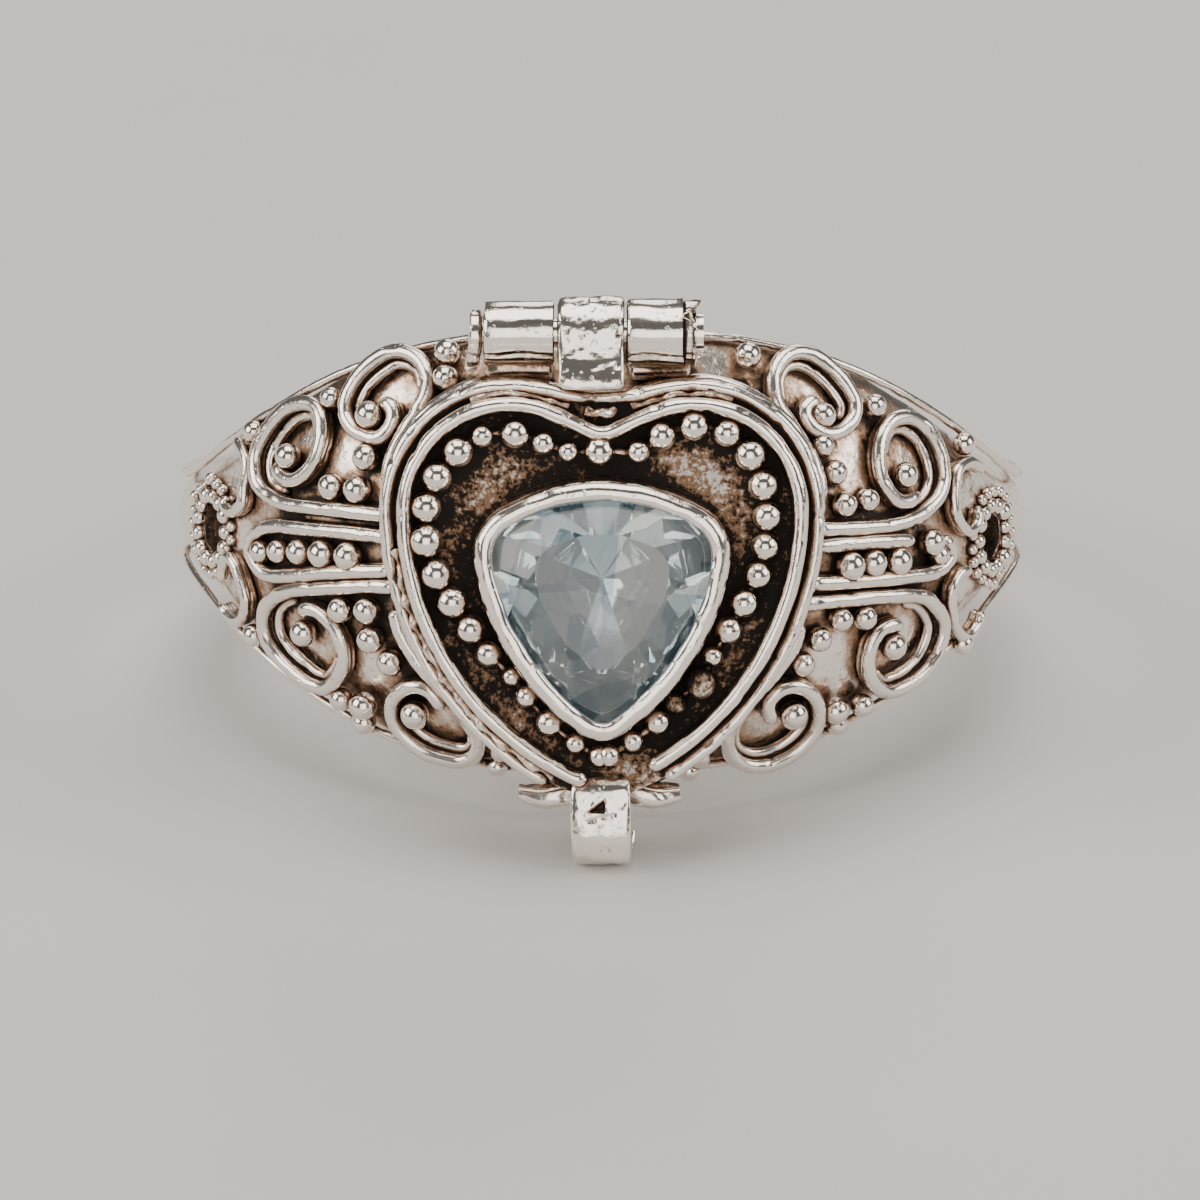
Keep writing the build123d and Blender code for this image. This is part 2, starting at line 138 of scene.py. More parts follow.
class Finish:
    """A material under construction."""

    def __init__(self, name):
        self.material = bpy.data.materials.new(name)
        self.material.use_nodes = True
        self.tree = self.material.node_tree
        self.surface = self.tree.nodes["Principled BSDF"]

    def node(self, kind, settings=None, sockets=None):
        """Any node: its settings first, then a value or a link for each socket."""
        made = self.tree.nodes.new(kind)
        for name, value in (settings or {}).items():
            setattr(made, name, value)
        by_identifier = {socket.identifier: socket for socket in made.inputs}
        for key, value in (sockets or {}).items():
            socket = made.inputs[key] if isinstance(key, int) else by_identifier[key]
            self.feed(socket, value)
        return made

    def feed(self, socket, value):
        if isinstance(value, Mask):
            self.tree.links.new(value.socket, socket)
        elif isinstance(value, bpy.types.NodeSocket):
            self.tree.links.new(value, socket)
        else:
            socket.default_value = value

    def place(self):
        """The place on the object, in millimetres."""
        where = self.node("ShaderNodeTexCoord").outputs["Object"]
        scaled = self.node("ShaderNodeVectorMath", {"operation": "SCALE"}, {0: where, "Scale": 1 / MM})
        return scaled.outputs["Vector"]

    def noise(self, where, scale, detail=3.0, roughness=0.55):
        made = self.node("ShaderNodeTexNoise", None, {
            "Vector": where, "Scale": scale, "Detail": detail, "Roughness": roughness})
        return Mask(self, made.outputs["Fac"])

    def attribute(self, name):
        made = self.node("ShaderNodeAttribute", {"attribute_name": name})
        return Mask(self, made.outputs["Fac"])

    def between(self, value, low, high):
        """0 below low, 1 above high, smooth between."""
        made = self.node("ShaderNodeMapRange", {"interpolation_type": "SMOOTHSTEP"}, {
            "Value": value, "From Min": low, "From Max": high})
        return Mask(self, made.outputs["Result"])

    def blend(self, factor, first, second):
        made = self.node("ShaderNodeMix", {"data_type": "RGBA"}, {
            "Factor_Float": factor, "A_Color": first, "B_Color": second})
        return next(socket for socket in made.outputs if socket.identifier == "Result_Color")

    def bump(self, height, distance_mm, strength=1.0, normal=None):
        sockets = {"Height": height, "Distance": distance_mm * MM, "Strength": strength}
        if normal is not None:
            sockets["Normal"] = normal
        return self.node("ShaderNodeBump", None, sockets).outputs["Normal"]

    def set(self, **values):
        """Feed the surface's own sockets, named with underscores for spaces."""
        for name, value in values.items():
            self.feed(self.surface.inputs[name.replace("_", " ")], value)
        return self.material


# %% [markdown]
# ## Oxidised silver
# Polishing takes the oxide off every place that a cloth can reach. So the mask for the oxide is
# how boxed-in a point is. Each mesh carries that as an attribute called cavity, which a later
# cell measures with short rays. The mask is broken up by noise, and goes from bright silver
# through a warm brown film to nearly black. The oxide is rougher and less metallic as well.

# %% Silver finishes
BRIGHT = (0.95, 0.885, 0.82, 1)
FILM = (0.40, 0.225, 0.12, 1)
OXIDE = (0.024, 0.016, 0.012, 1)


def silver(name, grime=0.0, shine=0.12, dents=0.6, mottle=0.4):
    """Silver whose recesses are dark; grime moves the dark edge outwards, mottle spreads it in patches."""
    finish = Finish(name)
    where = finish.place()
    cavity = finish.attribute("cavity")
    blotch = finish.noise(where, 1.3, 4.0)
    grain = finish.noise(where, 9.0, 5.0, 0.65)
    reach = cavity + (blotch - 0.5) * mottle + (grain - 0.5) * 0.35 + grime
    film = finish.between(reach, 0.16, 0.46)
    oxide = finish.between(reach, 0.4, 0.66)
    colour = finish.blend(film * 0.9, BRIGHT, FILM)
    colour = finish.blend(oxide, colour, OXIDE)
    ripple = finish.noise(where, 2.2, 2.0)
    scratches = finish.noise(finish.node("ShaderNodeMapping", None, {
        "Vector": where, "Rotation": (0.3, 0.7, 0.4), "Scale": (14.0, 1.6, 9.0)}).outputs["Vector"], 1.4, 4.0)
    pits = finish.between(finish.noise(where, 6.5, 1.0), 0.66, 0.74)
    relief = ripple * dents + scratches * 0.12 - pits * 0.35 + grain * oxide * 0.8
    return finish.set(
        Base_Color=colour,
        Metallic=1.0 - oxide * 0.5,
        Roughness=grain * 0.12 + film * 0.1 + oxide * 0.28 + shine,
        Normal=finish.bump(relief, 0.05, 0.55))


def oxidised_field():
    """The dark field of the lid: rough oxide with painted brown and silver glints in its hollows."""
    finish = Finish("oxidised_field")
    where = finish.place()
    cavity = finish.attribute("cavity")
    crumb = finish.noise(where, 7.0, 6.0, 0.7)
    patch = finish.noise(where, 0.8, 2.0)
    painted_brown_glint = finish.between(crumb + (patch - 0.5) * 0.7 - cavity * 0.5, 0.34, 0.46)
    painted_glint = finish.between(crumb + (patch - 0.5) * 0.5 - cavity * 0.6, 0.46, 0.56)
    # The brown and silver glints are painted highlights, put into the colour over the dark oxide.
    colour = finish.blend(painted_brown_glint, (0.02, 0.017, 0.015, 1), (0.33, 0.2, 0.12, 1))
    colour = finish.blend(painted_glint, colour, (0.8, 0.77, 0.74, 1))
    return finish.set(
        Base_Color=colour,
        Metallic=0.85,
        Roughness=0.42 - painted_glint * 0.15 + crumb * 0.1,
        Normal=finish.bump(crumb + patch * 0.5, 0.09, 1.0))


MATERIALS = {
    "worn silver": silver("worn_silver"),
    "bright silver": silver("bright_silver", grime=-0.05, shine=0.07, dents=0.4),
    "dark silver": silver("dark_silver", grime=0.1, shine=0.18, dents=1.0),
    "rough silver": silver("rough_silver", grime=0.06, shine=0.16, dents=1.4, mottle=0.75),
    "hammered silver": silver("hammered_silver", grime=0.03, shine=0.09, dents=1.2, mottle=0.6),
    "oxidised field": oxidised_field(),
}
print("Finishes:", sorted(MATERIALS))

# %% [markdown]
# ## The pale blue stone
# The stone is cut in CAD, with flat facets, and it stays as it is. It is a clear glass with a weak
# blue. A cut stone shows its rear facets as a patchwork of light and dark, which two Voronoi
# textures stand in for, and the photograph shows tiny specks and flecks.

# %% Stone finish
def topaz():
    finish = Finish("blue_topaz")
    where = finish.place()
    cloud = finish.noise(where, 0.9, 3.0)
    # The Voronoi patches paint the rear facets' reflections into the colour: near white for painted reflected light,
    # dark blue for painted shade.
    painted_facet_reflections = [finish.node("ShaderNodeTexVoronoi", None, {"Vector": where, "Scale": scale}).outputs["Color"]
               for scale in (0.55, 1.15)]
    patch = Mask(finish, painted_facet_reflections[0]) * 0.65 + Mask(finish, painted_facet_reflections[1]) * 0.35
    fleck = finish.between(finish.noise(where, 5.0, 4.0, 0.7), 0.62, 0.7)
    speck = finish.between(finish.noise(where, 6.0, 2.0, 0.6), 0.66, 0.7)
    colour = finish.blend(finish.between(patch + cloud * 0.1, 0.38, 0.68), (0.24, 0.37, 0.45, 1), (0.9, 0.98, 1.0, 1))
    colour = finish.blend(speck * 0.6, colour, (0.22, 0.28, 0.33, 1))
    colour = finish.blend(fleck * 0.5, colour, (0.95, 0.97, 0.98, 1))
    return finish.set(Base_Color=colour, Roughness=fleck * 0.08, IOR=1.72,
                      Transmission_Weight=0.86)


# %% [markdown]
# ## Outlines as arcs
# A goldsmith bends the heart and the bezel from strip round a few cylinders, so both outlines are
# chains of arcs. Only the right half is given; the left is its mirror image. Walking the outline
# by its length gives evenly spaced points and the way out at each of them.

# %% Outlines
class Outline:
    """A closed outline, clockwise from the middle of its top, as points with outward normals."""

    def __init__(self, half_arcs, count):
        half = []
        for x, z, radius, start, end in half_arcs:
            steps = max(2, round(abs(end - start) * radius / 1.5))
            for index in range(steps + 1):
                angle = math.radians(start + (end - start) * index / steps)
                half.append(Vector((x + radius * math.cos(angle), z + radius * math.sin(angle))))
        line = half + [Vector((-point.x, point.y)) for point in reversed(half)]
        line = [a for a, b in zip(line, line[-1:] + line[:-1]) if (a - b).length > 1e-4]
        line.append(line[0])
        lengths = [0.0]
        for first, second in zip(line, line[1:]):
            lengths.append(lengths[-1] + (second - first).length)
        self.samples = []
        spot = 0
        for index in range(count):
            along = lengths[-1] * index / count
            while lengths[spot + 1] < along:
                spot += 1
            share = (along - lengths[spot]) / (lengths[spot + 1] - lengths[spot])
            way = (line[spot + 1] - line[spot]).normalized()
            self.samples.append((line[spot].lerp(line[spot + 1], share), Vector((-way.y, way.x))))
        self.length = lengths[-1]

    def spots(self, outset):
        return [point + normal * outset for point, normal in self.samples]


def wrap_centre(first, first_r, second, second_r, big_r):
    """Centre of the big arc that wraps two corner circles, on the left of the way from one to the other."""
    to_first, to_second = big_r - first_r, big_r - second_r
    apart = second - first
    along = (to_first**2 - to_second**2 + apart.length_squared) / (2 * apart.length)
    across = math.sqrt(to_first**2 - along**2)
    unit = apart.normalized()
    return first + unit * along + Vector((-unit.y, unit.x)) * across


def angle_of(vector):
    return math.degrees(math.atan2(vector.y, vector.x))


# %% The heart
LOBE = Vector((2.3, 1.5))
LOBE_R = 2.65
CLEFT_SLOPE = 22.4
CLEFT_R = 1.4
SIDE_R = 7.45
TIP_Z = -5.25
TIP_R = 0.45
AROUND = 260

lean = math.radians(CLEFT_SLOPE)
line_x, line_z = LOBE.x - LOBE_R * math.sin(lean), LOBE.y + LOBE_R * math.cos(lean)
cleft_z = line_z - line_x * math.tan(lean) + CLEFT_R / math.cos(lean)
side_centre = Vector((LOBE.x + LOBE_R - SIDE_R, LOBE.y))
tip_centre_z = TIP_Z + TIP_R
tip_centre_x = side_centre.x + math.sqrt((SIDE_R - TIP_R)**2 - (tip_centre_z - side_centre.y)**2)
tip_angle = angle_of(Vector((tip_centre_x, tip_centre_z)) - side_centre)
HEART = Outline([
    (0, cleft_z, CLEFT_R, -90, -90 + CLEFT_SLOPE),
    (LOBE.x, LOBE.y, LOBE_R, 90 + CLEFT_SLOPE, 0),
    (side_centre.x, side_centre.y, SIDE_R, 0, tip_angle),
    (tip_centre_x, tip_centre_z, TIP_R, tip_angle, -90),
], AROUND)

# %% The stone's outline
CORNER = Vector((1.82, 0.42))
CORNER_R = 1.05
STONE_TIP = Vector((0, -3.26))
STONE_TIP_R = 0.6
top_centre = wrap_centre(CORNER, CORNER_R, Vector((-CORNER.x, CORNER.y)), CORNER_R, 4.6)
flank_centre = wrap_centre(STONE_TIP, STONE_TIP_R, CORNER, CORNER_R, 6.2)
corner_from = angle_of(CORNER - top_centre)
corner_to = angle_of(CORNER - flank_centre)
tip_from = angle_of(STONE_TIP - flank_centre)
GIRDLE = Outline([
    (top_centre.x, top_centre.y, 4.6, 90, corner_from),
    (CORNER.x, CORNER.y, CORNER_R, corner_from, corner_to),
    (flank_centre.x, flank_centre.y, 6.2, corner_to, tip_from),
    (STONE_TIP.x, STONE_TIP.y, STONE_TIP_R, tip_from, -90),
], AROUND)
print("Heart outline", round(HEART.length, 1), "mm round, stone", round(GIRDLE.length, 1), "mm round")

# %% [markdown]
# ## Rings of points, bridged into skins
# Most of the head is a section carried round an outline: a wall, a wire, a bezel. Each corner of
# the section becomes one ring of points, made with create_circle and moved onto the outline, and
# bridge_loops skins one ring to the next. Depth is counted from the finger axis to the viewer.

# %% Ring helpers
def ring(bm, spots, depth):
    """A closed loop through spots at one depth."""
    verts = bmesh.ops.create_circle(bm, segments=len(spots), radius=1.0)["verts"]
    for vert, spot in zip(verts, spots):
        vert.co = (spot.x, -depth, spot.y)
    return verts


def loop_edges(verts):
    wanted = set(verts)
    return list({edge for vert in verts for edge in vert.link_edges if set(edge.verts) <= wanted})


def skin(bm, rings, closed=False):
    """Faces between neighbouring rings."""
    pairs = list(zip(rings, rings[1:]))
    if closed:
        pairs.append((rings[-1], rings[0]))
    for first, second in pairs:
        bmesh.ops.bridge_loops(bm, edges=loop_edges(first) + loop_edges(second))


def wire_round(bm, outline, outset, depth, radius, sides=14, wobble=0.0, seed=0):
    """A round wire that follows an outline, with a little handmade wobble."""
    rings = []
    for index in range(sides):
        angle = math.tau * index / sides
        rings.append(ring(bm, outline.spots(outset + radius * math.cos(angle)),
                          depth + radius * math.sin(angle)))
    skin(bm, rings, closed=True)
    for verts in rings:
        for vert in verts:
            drift = noise.noise_vector(vert.co * 0.9 + Vector((seed, 0, 0)))
            vert.co += drift * wobble


def between_spots(first, second, share):
    return [a.lerp(b, share) for a, b in zip(first, second)]


def shrunk(spots, centre, share):
    return [centre.lerp(spot, share) for spot in spots]


SHOULDER_R = 11.05
MEASURED_R = 11.3
SHANK_R = 10.95
SHANK_SHIFT = 0.7
BAND_HEIGHTS = [(0, 5.55), (18, 5.55), (30, 5.1), (39, 4.55), (46, 3.95), (54, 3.15), (64, 2.1),
                (71, 1.5), (77, 1.15), (90, 1.12), (360, 1.0)]
WINDOW_X = 10.15
MID_Z = -0.1
HINGE_DEPTH = 11.9
HINGE_Z = 5.82
PIN_HOLE_R = 0.43
MODELS = {}


def keep(name, bm, body, finish, slot="silver"):
    """Store a piece until its cavities have been measured."""
    bmesh.ops.remove_doubles(bm, verts=bm.verts, dist=0.0005)
    bmesh.ops.recalc_face_normals(bm, faces=bm.faces)
    MODELS[name] = (bm, body, finish, slot)
    print(name, len(bm.verts), "points")


# %% [markdown]
# ## Rods, wires and strips
# Nearly every other part is a strip or a wire bent to a path. A rod here is a row of circles made
# with create_circle, each set across the path by its matrix, joined by bridge_loops and closed at
# both ends. The circle can be squared off to give the section of a flat strip.

# %% Rod helpers
def flowing(points, step):
    """An even, smooth line through the points (a Catmull-Rom spline)."""
    points = [Vector(point) for point in points]
    padded = [points[0] * 2 - points[1]] + points + [points[-1] * 2 - points[-2]]
    fine = []
    for before, first, second, after in zip(padded, padded[1:], padded[2:], padded[3:]):
        for index in range(24):
            t = index / 24
            fine.append(0.5 * (2 * first + (second - before) * t
                               + (2 * before - 5 * first + 4 * second - after) * t * t
                               + (3 * first - before - 3 * second + after) * t * t * t))
    fine.append(points[-1])
    even = [fine[0]]
    for point in fine[1:]:
        while (point - even[-1]).length > step:
            even.append(even[-1] + (point - even[-1]).normalized() * step)
    return even


def tapered(count, step, radius, least=0.35):
    """Radii along a rod whose two ends are rounded."""
    radii = []
    for index in range(count):
        inside = min(index, count - 1 - index) * step
        short = max(0.0, 1 - inside / radius)
        radii.append(max(least, math.sqrt(1 - short * short)))
    return radii


def rod(points, ups, wide, thick, square=1.0, sides=14, taper=None):
    """A rod of the given half width and half thickness; ups say which way its face looks."""
    bm = bmesh.new()
    rings = []
    last = len(points) - 1
    power = 2 / square
    for index, (point, up) in enumerate(zip(points, ups)):
        ahead = (points[min(index + 1, last)] - points[max(index - 1, 0)]).normalized()
        side = ahead.cross(up).normalized()
        up = side.cross(ahead)
        size = taper[index] if taper else 1.0
        place = Matrix((side * wide * size, up * thick * size, ahead)).transposed().to_4x4()
        place.translation = point
        verts = bmesh.ops.create_circle(bm, cap_ends=index in (0, last), segments=sides, radius=1.0)["verts"]
        for vert in verts:
            vert.co = place @ (vert.co * (abs(vert.co.x)**power + abs(vert.co.y)**power)**(-1 / power))
        rings.append(verts)
    skin(bm, rings)
    return bm


def add(target, source):
    """Move one bmesh into another."""
    mesh = bpy.data.meshes.new("passing")
    source.to_mesh(mesh)
    source.free()
    target.from_mesh(mesh)
    bpy.data.meshes.remove(mesh)


def worked(bm, amount, scale, seed, nick=0.0):
    """Handmade unevenness, with small nicks where a second noise peaks."""
    bm.normal_update()
    moves = []
    for vert in bm.verts:
        spot = vert.co * scale + Vector((seed * 3.1, seed * 1.7, seed))
        peak = noise.noise(spot * 2.6 + Vector((9, 0, 0)))
        moves.append(noise.noise(spot) * amount - max(0.0, peak - 0.32) * nick)
    for vert, move in zip(bm.verts, moves):
        vert.co += vert.normal * move
    return bm


def ball(bm, centre, radius, seed=0, detail=4):
    """A granule, melted from a snip of wire, so it is nearly but not quite round."""
    turn = Quaternion((0.3, 0.8, 0.5), seed * 1.3).to_matrix().to_4x4()
    stretch = Matrix.Diagonal((1.0, 0.97 + 0.02 * (seed % 3), 1.0, 1.0))
    bmesh.ops.create_icosphere(bm, subdivisions=detail, radius=radius,
                               matrix=Matrix.Translation(centre) @ turn @ stretch)


def on_shoulder(x, z, out):
    """The place over the shoulder, out from its surface, that covers x and z in the photograph."""
    direction = Vector((x, -math.sqrt(MEASURED_R**2 - x * x - z * z), z)) / MEASURED_R
    return direction * (SHOULDER_R + out), direction


def shoulder_wire(path, out, radius, seed, step=0.07, part=(0.0, 1.0), thick=1.0, inset=0.0):
    """A wire over the shoulder along a path of (x, z), or along a part of it moved sideways."""
    line = flowing(path, step)
    line = line[round(part[0] * len(line)):round(part[1] * len(line))]
    if inset:
        line = [point + inset * Vector((-way.y, way.x))
                for point, way in zip(line, [(b - a).normalized() for a, b in zip(line, line[1:])])]
    spots, ups = zip(*[on_shoulder(point.x, point.y, out) for point in line])
    bm = rod(spots, ups, radius, radius * thick, taper=tapered(len(spots), step, radius))
    return worked(bm, 0.02, 1.6, seed, nick=0.1)


# %% [markdown]
# ## The band and shoulders
# The band is one strip, thin and narrow behind the finger and broad at the face. A full spin about
# the finger axis carries a section round. Each point is then moved to the height and thickness that
# the band has at its angle. In front the outside follows a sphere, so the shoulders curve both
# ways. A Boolean sinks the heart-shaped pocket and one dark window at each side.

# %% Band
BAND_STEPS = 360
BAND_COLUMNS = 92


def band_height(angle):
    """Half height of the band, averaged over a few degrees so that it has no corners."""
    total = 0.0
    for step in (-5, -2.5, 0, 2.5, 5):
        turn = min(abs(angle + step), 360 - abs(angle + step))
        for (a0, h0), (a1, h1) in zip(BAND_HEIGHTS, BAND_HEIGHTS[1:]):
            if turn <= a1:
                total += h0 + (h1 - h0) * (turn - a0) / (a1 - a0)
                break
    return total / 5


def band_outside(angle, height, half):
    """Distance of the outer surface from the finger axis."""
    front = math.sqrt(SHOULDER_R**2 - height**2)
    turn = math.radians(180 - angle)
    rear = math.sqrt(SHANK_R**2 - (SHANK_SHIFT * math.sin(turn))**2) - SHANK_SHIFT * math.cos(turn)
    rear -= 0.3 * (height / half)**2
    share = min(max((angle - 70) / 22, 0), 1)
    return front + (rear - front) * share * share * (3 - 2 * share)


def make_band():
    bm = bmesh.new()
    section = bmesh.ops.create_circle(bm, segments=BAND_COLUMNS, radius=1.0)["verts"]
    for vert in section:
        x, y = vert.co.x, vert.co.y
        across = math.asin(max(-1, min(1, y))) / (math.pi / 2)
        through = math.copysign(abs(x)**0.25, x)
        vert.co = (0.0, -(10 + through), across)
    bmesh.ops.spin(bm, geom=section + loop_edges(section), cent=(0, 0, 0), axis=(0, 0, 1),
                   angle=math.tau, steps=BAND_STEPS, use_merge=True)
    for vert in bm.verts:
        radial = math.hypot(vert.co.x, vert.co.y)
        way = Vector((vert.co.x, vert.co.y, 0)) / radial
        angle = abs(math.degrees(math.atan2(vert.co.x, -vert.co.y)))
        half = band_height(angle)
        height = vert.co.z * half
        outside = band_outside(angle, height, half)
        inside = FINGER_R + 0.06
        edge = max(0.0, abs(vert.co.z) - 0.94) * 2
        through = (radial - 9) / 2
        reach = inside + edge + (outside - inside - edge) * through
        vert.co = way * reach + Vector((0, 0, height))
    return bm


def window_z(side):
    """Height of the window's middle: the left one sits a little higher."""
    return MID_Z - 0.12 * side


def make_cutters():
    """The heart-shaped pocket and the two windows, as solids to take away."""
    bm = bmesh.new()
    pocket = [ring(bm, HEART.spots(0.2), depth) for depth in (9.84, 13.5)]
    skin(bm, pocket)
    for verts in pocket:
        bmesh.ops.contextual_create(bm, geom=loop_edges(verts))
    for side in (-1, 1):
        centre, out = on_shoulder(side * WINDOW_X, window_z(side), 0.0)
        turn = out.to_track_quat("Z", "Y").to_matrix().to_4x4()
        spin = Matrix.Rotation(0 if side > 0 else math.pi, 4, "Z")
        bmesh.ops.create_cone(bm, cap_ends=True, segments=7, radius1=0.66, radius2=0.78, depth=1.8,
                              matrix=Matrix.Translation(centre) @ turn @ spin)
    bmesh.ops.recalc_face_normals(bm, faces=bm.faces)
    return bm


def cut_away(bm, cutter):
    """Take one bmesh from another with a Boolean modifier, and give back the result."""
    objects = []
    for name, source in (("blank", bm), ("cutter", cutter)):
        bmesh.ops.recalc_face_normals(source, faces=source.faces)
        mesh = bpy.data.meshes.new(name)
        source.to_mesh(mesh)
        source.free()
        objects.append(bpy.data.objects.new(name, mesh))
        bpy.context.scene.collection.objects.link(objects[-1])
    blank, tool = objects
    boolean = blank.modifiers.new("cut", "BOOLEAN")
    boolean.operation = "DIFFERENCE"
    boolean.object = tool
    evaluated = blank.evaluated_get(bpy.context.evaluated_depsgraph_get())
    result = bmesh.new()
    result.from_mesh(evaluated.to_mesh())
    evaluated.to_mesh_clear()
    for item in objects:
        mesh = item.data
        bpy.data.objects.remove(item)
        bpy.data.meshes.remove(mesh)
    return result


band = cut_away(make_band(), make_cutters())
worked(band, 0.035, 1.1, 3)
keep("band", band, "ring", "rough silver")

# %% [markdown]
# ## The heart-shaped box
# A strip of silver is bent to the heart and soldered to a floor. A wire round its foot hides the
# solder. The lid closes on its rim, so the inside only shows when the lid is up.

# %% Box
box = bmesh.new()
wall = [(0.4, 9.0), (0.4, 12.1), (0.34, 12.17), (-0.19, 12.18), (-0.25, 12.1), (-0.25, 9.95),
        (-0.25, 9.86), (-0.2, 9.8), (0.0, 9.3)]
rings = [ring(box, HEART.spots(outset), depth) for outset, depth in wall]
skin(box, rings, closed=True)
middle = Vector((0, -0.2))
floor_rings = [ring(box, shrunk(HEART.spots(-0.2), middle, share), 9.85 + 0.05 * share) for share in (1.0, 0.75, 0.5, 0.25)]
skin(box, floor_rings)
bmesh.ops.contextual_create(box, geom=loop_edges(floor_rings[-1]))
worked(box, 0.03, 1.2, 5)
keep("heart_box", box, "ring", "dark silver")

foot = bmesh.new()
wire_round(foot, HEART, 0.44, 11.6, 0.17, sides=12, wobble=0.04, seed=4)
worked(foot, 0.03, 1.8, 7, nick=0.12)
keep("box_wire", foot, "ring", "worn silver")

# %% [markdown]
# ## Scrolls
# Each scroll is one wire: it starts against the box, makes a wide loop and curls in round a
# granule. The paths are not mirror images, because each was bent by hand. A second wire lies
# under the first, which makes the loop look deep, and a thin one nests inside.

# %% Scroll paths, as (x, z)
SCROLLS = {
    "left_top": [(-5.43, 1.77), (-5.29, 2.43), (-4.99, 3.04), (-4.66, 3.57), (-4.43, 4.03), (-4.4, 4.44),
                 (-4.56, 4.8), (-4.92, 4.99), (-5.35, 4.98), (-5.81, 4.71), (-6.2, 4.31), (-6.43, 3.89),
                 (-6.5, 3.47), (-6.34, 3.11), (-6.05, 2.93), (-5.65, 2.89), (-5.37, 3.12), (-5.25, 3.43),
                 (-5.35, 3.7), (-5.62, 3.77)],
    "left_upper": [(-5.34, 0.97), (-6.29, 1.01), (-7.28, 1.02), (-7.94, 1.02), (-8.4, 1.15), (-8.73, 1.41),
                   (-8.83, 1.89), (-8.74, 2.38), (-8.41, 2.95), (-8.01, 3.38), (-7.57, 3.57), (-7.25, 3.5),
                   (-7.1, 3.21), (-7.09, 2.73), (-7.27, 2.19), (-7.56, 1.81), (-7.85, 1.64), (-8.14, 1.74),
                   (-8.26, 2.01)],
    "left_middle": [(-5.3, 0.42), (-6.29, 0.47), (-7.11, 0.47), (-7.73, 0.46), (-8.23, 0.45), (-8.65, 0.31),
                    (-8.9, 0.02), (-8.94, -0.31), (-8.77, -0.65), (-8.48, -0.85), (-7.94, -0.79),
                    (-7.11, -0.63), (-6.29, -0.5), (-5.3, -0.41)],
    "left_lower": [(-5.2, -0.81), (-6.09, -0.87), (-7.11, -1.02), (-7.73, -1.12), (-8.19, -1.31),
                   (-8.53, -1.66), (-8.62, -2.1), (-8.54, -2.56), (-8.25, -2.98), (-7.83, -3.34),
                   (-7.38, -3.62), (-6.97, -3.63), (-6.65, -3.26), (-6.53, -2.82), (-6.63, -2.28),
                   (-6.87, -1.89), (-7.2, -1.63), (-7.49, -1.61), (-7.66, -1.78)],
    "left_bottom": [(-5.24, -1.4), (-5.12, -1.89), (-4.9, -2.34), (-4.6, -2.81), (-4.14, -3.29),
                    (-3.74, -3.73), (-3.39, -4.21), (-3.16, -4.57), (-3.11, -4.94), (-3.28, -5.24),
                    (-3.63, -5.36), (-4.1, -5.29), (-4.54, -5.14), (-4.94, -4.85), (-5.23, -4.47),
                    (-5.33, -4.1), (-5.25, -3.75), (-4.99, -3.48), (-4.67, -3.39), (-4.32, -3.52),
                    (-4.12, -3.78), (-4.09, -4.03)],
    "left_side_up": [(-9.34, 2.45), (-9.11, 2.15), (-9.03, 1.78), (-9.12, 1.31), (-9.16, 0.87),
                     (-9.41, 0.63), (-9.63, 0.74), (-9.56, 0.97)],
    "left_side_down": [(-9.71, -1.22), (-9.67, -0.83), (-9.54, -0.57), (-9.37, -0.72), (-9.18, -1.23),
                       (-9.08, -1.67), (-9.17, -2.12), (-9.38, -2.21), (-9.64, -2.02), (-9.72, -1.78)],
    "right_top": [(5.52, 1.38), (5.45, 1.89), (5.25, 2.45), (4.97, 2.92), (4.66, 3.4), (4.4, 3.8),
                  (4.31, 4.29), (4.39, 4.66), (4.63, 4.93), (5.03, 5.0), (5.47, 4.82), (5.9, 4.45),
                  (6.22, 4.05), (6.4, 3.66), (6.33, 3.28), (6.05, 3.04), (5.69, 2.97), (5.37, 3.11),
                  (5.17, 3.33), (5.1, 3.57), (5.22, 3.75), (5.5, 3.82)],
    "right_upper": [(5.4, 0.65), (6.2, 0.59), (6.84, 0.58), (7.48, 0.59), (8.04, 0.73), (8.43, 1.01),
                    (8.62, 1.3), (8.69, 1.65), (8.64, 2.06), (8.48, 2.51), (8.19, 2.93), (7.79, 3.19),
                    (7.38, 3.18), (7.11, 2.9), (6.99, 2.46), (7.01, 1.99), (7.17, 1.55), (7.45, 1.2),
                    (7.77, 1.13), (8.06, 1.33)],
    "right_middle_bar": [(5.3, 0.19), (5.99, 0.21), (6.84, 0.2), (7.95, 0.12)],
    "right_middle": [(8.65, 0.09), (8.87, -0.33), (8.71, -0.64), (8.39, -0.79), (7.7, -0.79),
                     (7.05, -0.78), (6.2, -0.77), (5.2, -0.73)],
    "right_lower": [(5.0, -1.24), (5.99, -1.23), (7.05, -1.23), (8.0, -1.32), (8.43, -1.6), (8.7, -2.17),
                    (8.6, -2.78), (8.28, -3.31), (7.8, -3.66), (7.29, -3.8), (6.92, -3.58), (6.74, -3.13),
                    (6.78, -2.6), (7.01, -2.14), (7.36, -2.01), (7.64, -2.16)],
    "right_bottom": [(4.98, -1.73), (4.88, -2.2), (4.6, -2.68), (4.25, -3.11), (3.88, -3.54),
                     (3.52, -3.94), (3.26, -4.32), (3.16, -4.71), (3.23, -5.11), (3.5, -5.4), (3.9, -5.53),
                     (4.39, -5.47), (4.91, -5.21), (5.31, -4.8), (5.49, -4.35), (5.43, -3.88),
                     (5.18, -3.53), (4.81, -3.4), (4.44, -3.51), (4.21, -3.78), (4.21, -4.11),
                     (4.38, -4.32)],
    "right_side_up": [(9.76, 1.62), (9.38, 1.87), (9.07, 1.76), (8.98, 1.38), (8.97, 0.95), (9.04, 0.53),
                      (9.31, 0.15), (9.55, 0.27), (9.62, 0.72)],
    "right_side_down": [(9.4, -0.9), (9.13, -0.91), (8.91, -1.29), (8.92, -1.9), (9.06, -2.42),
                        (9.3, -2.66), (9.59, -2.42), (9.74, -2.0)],
}
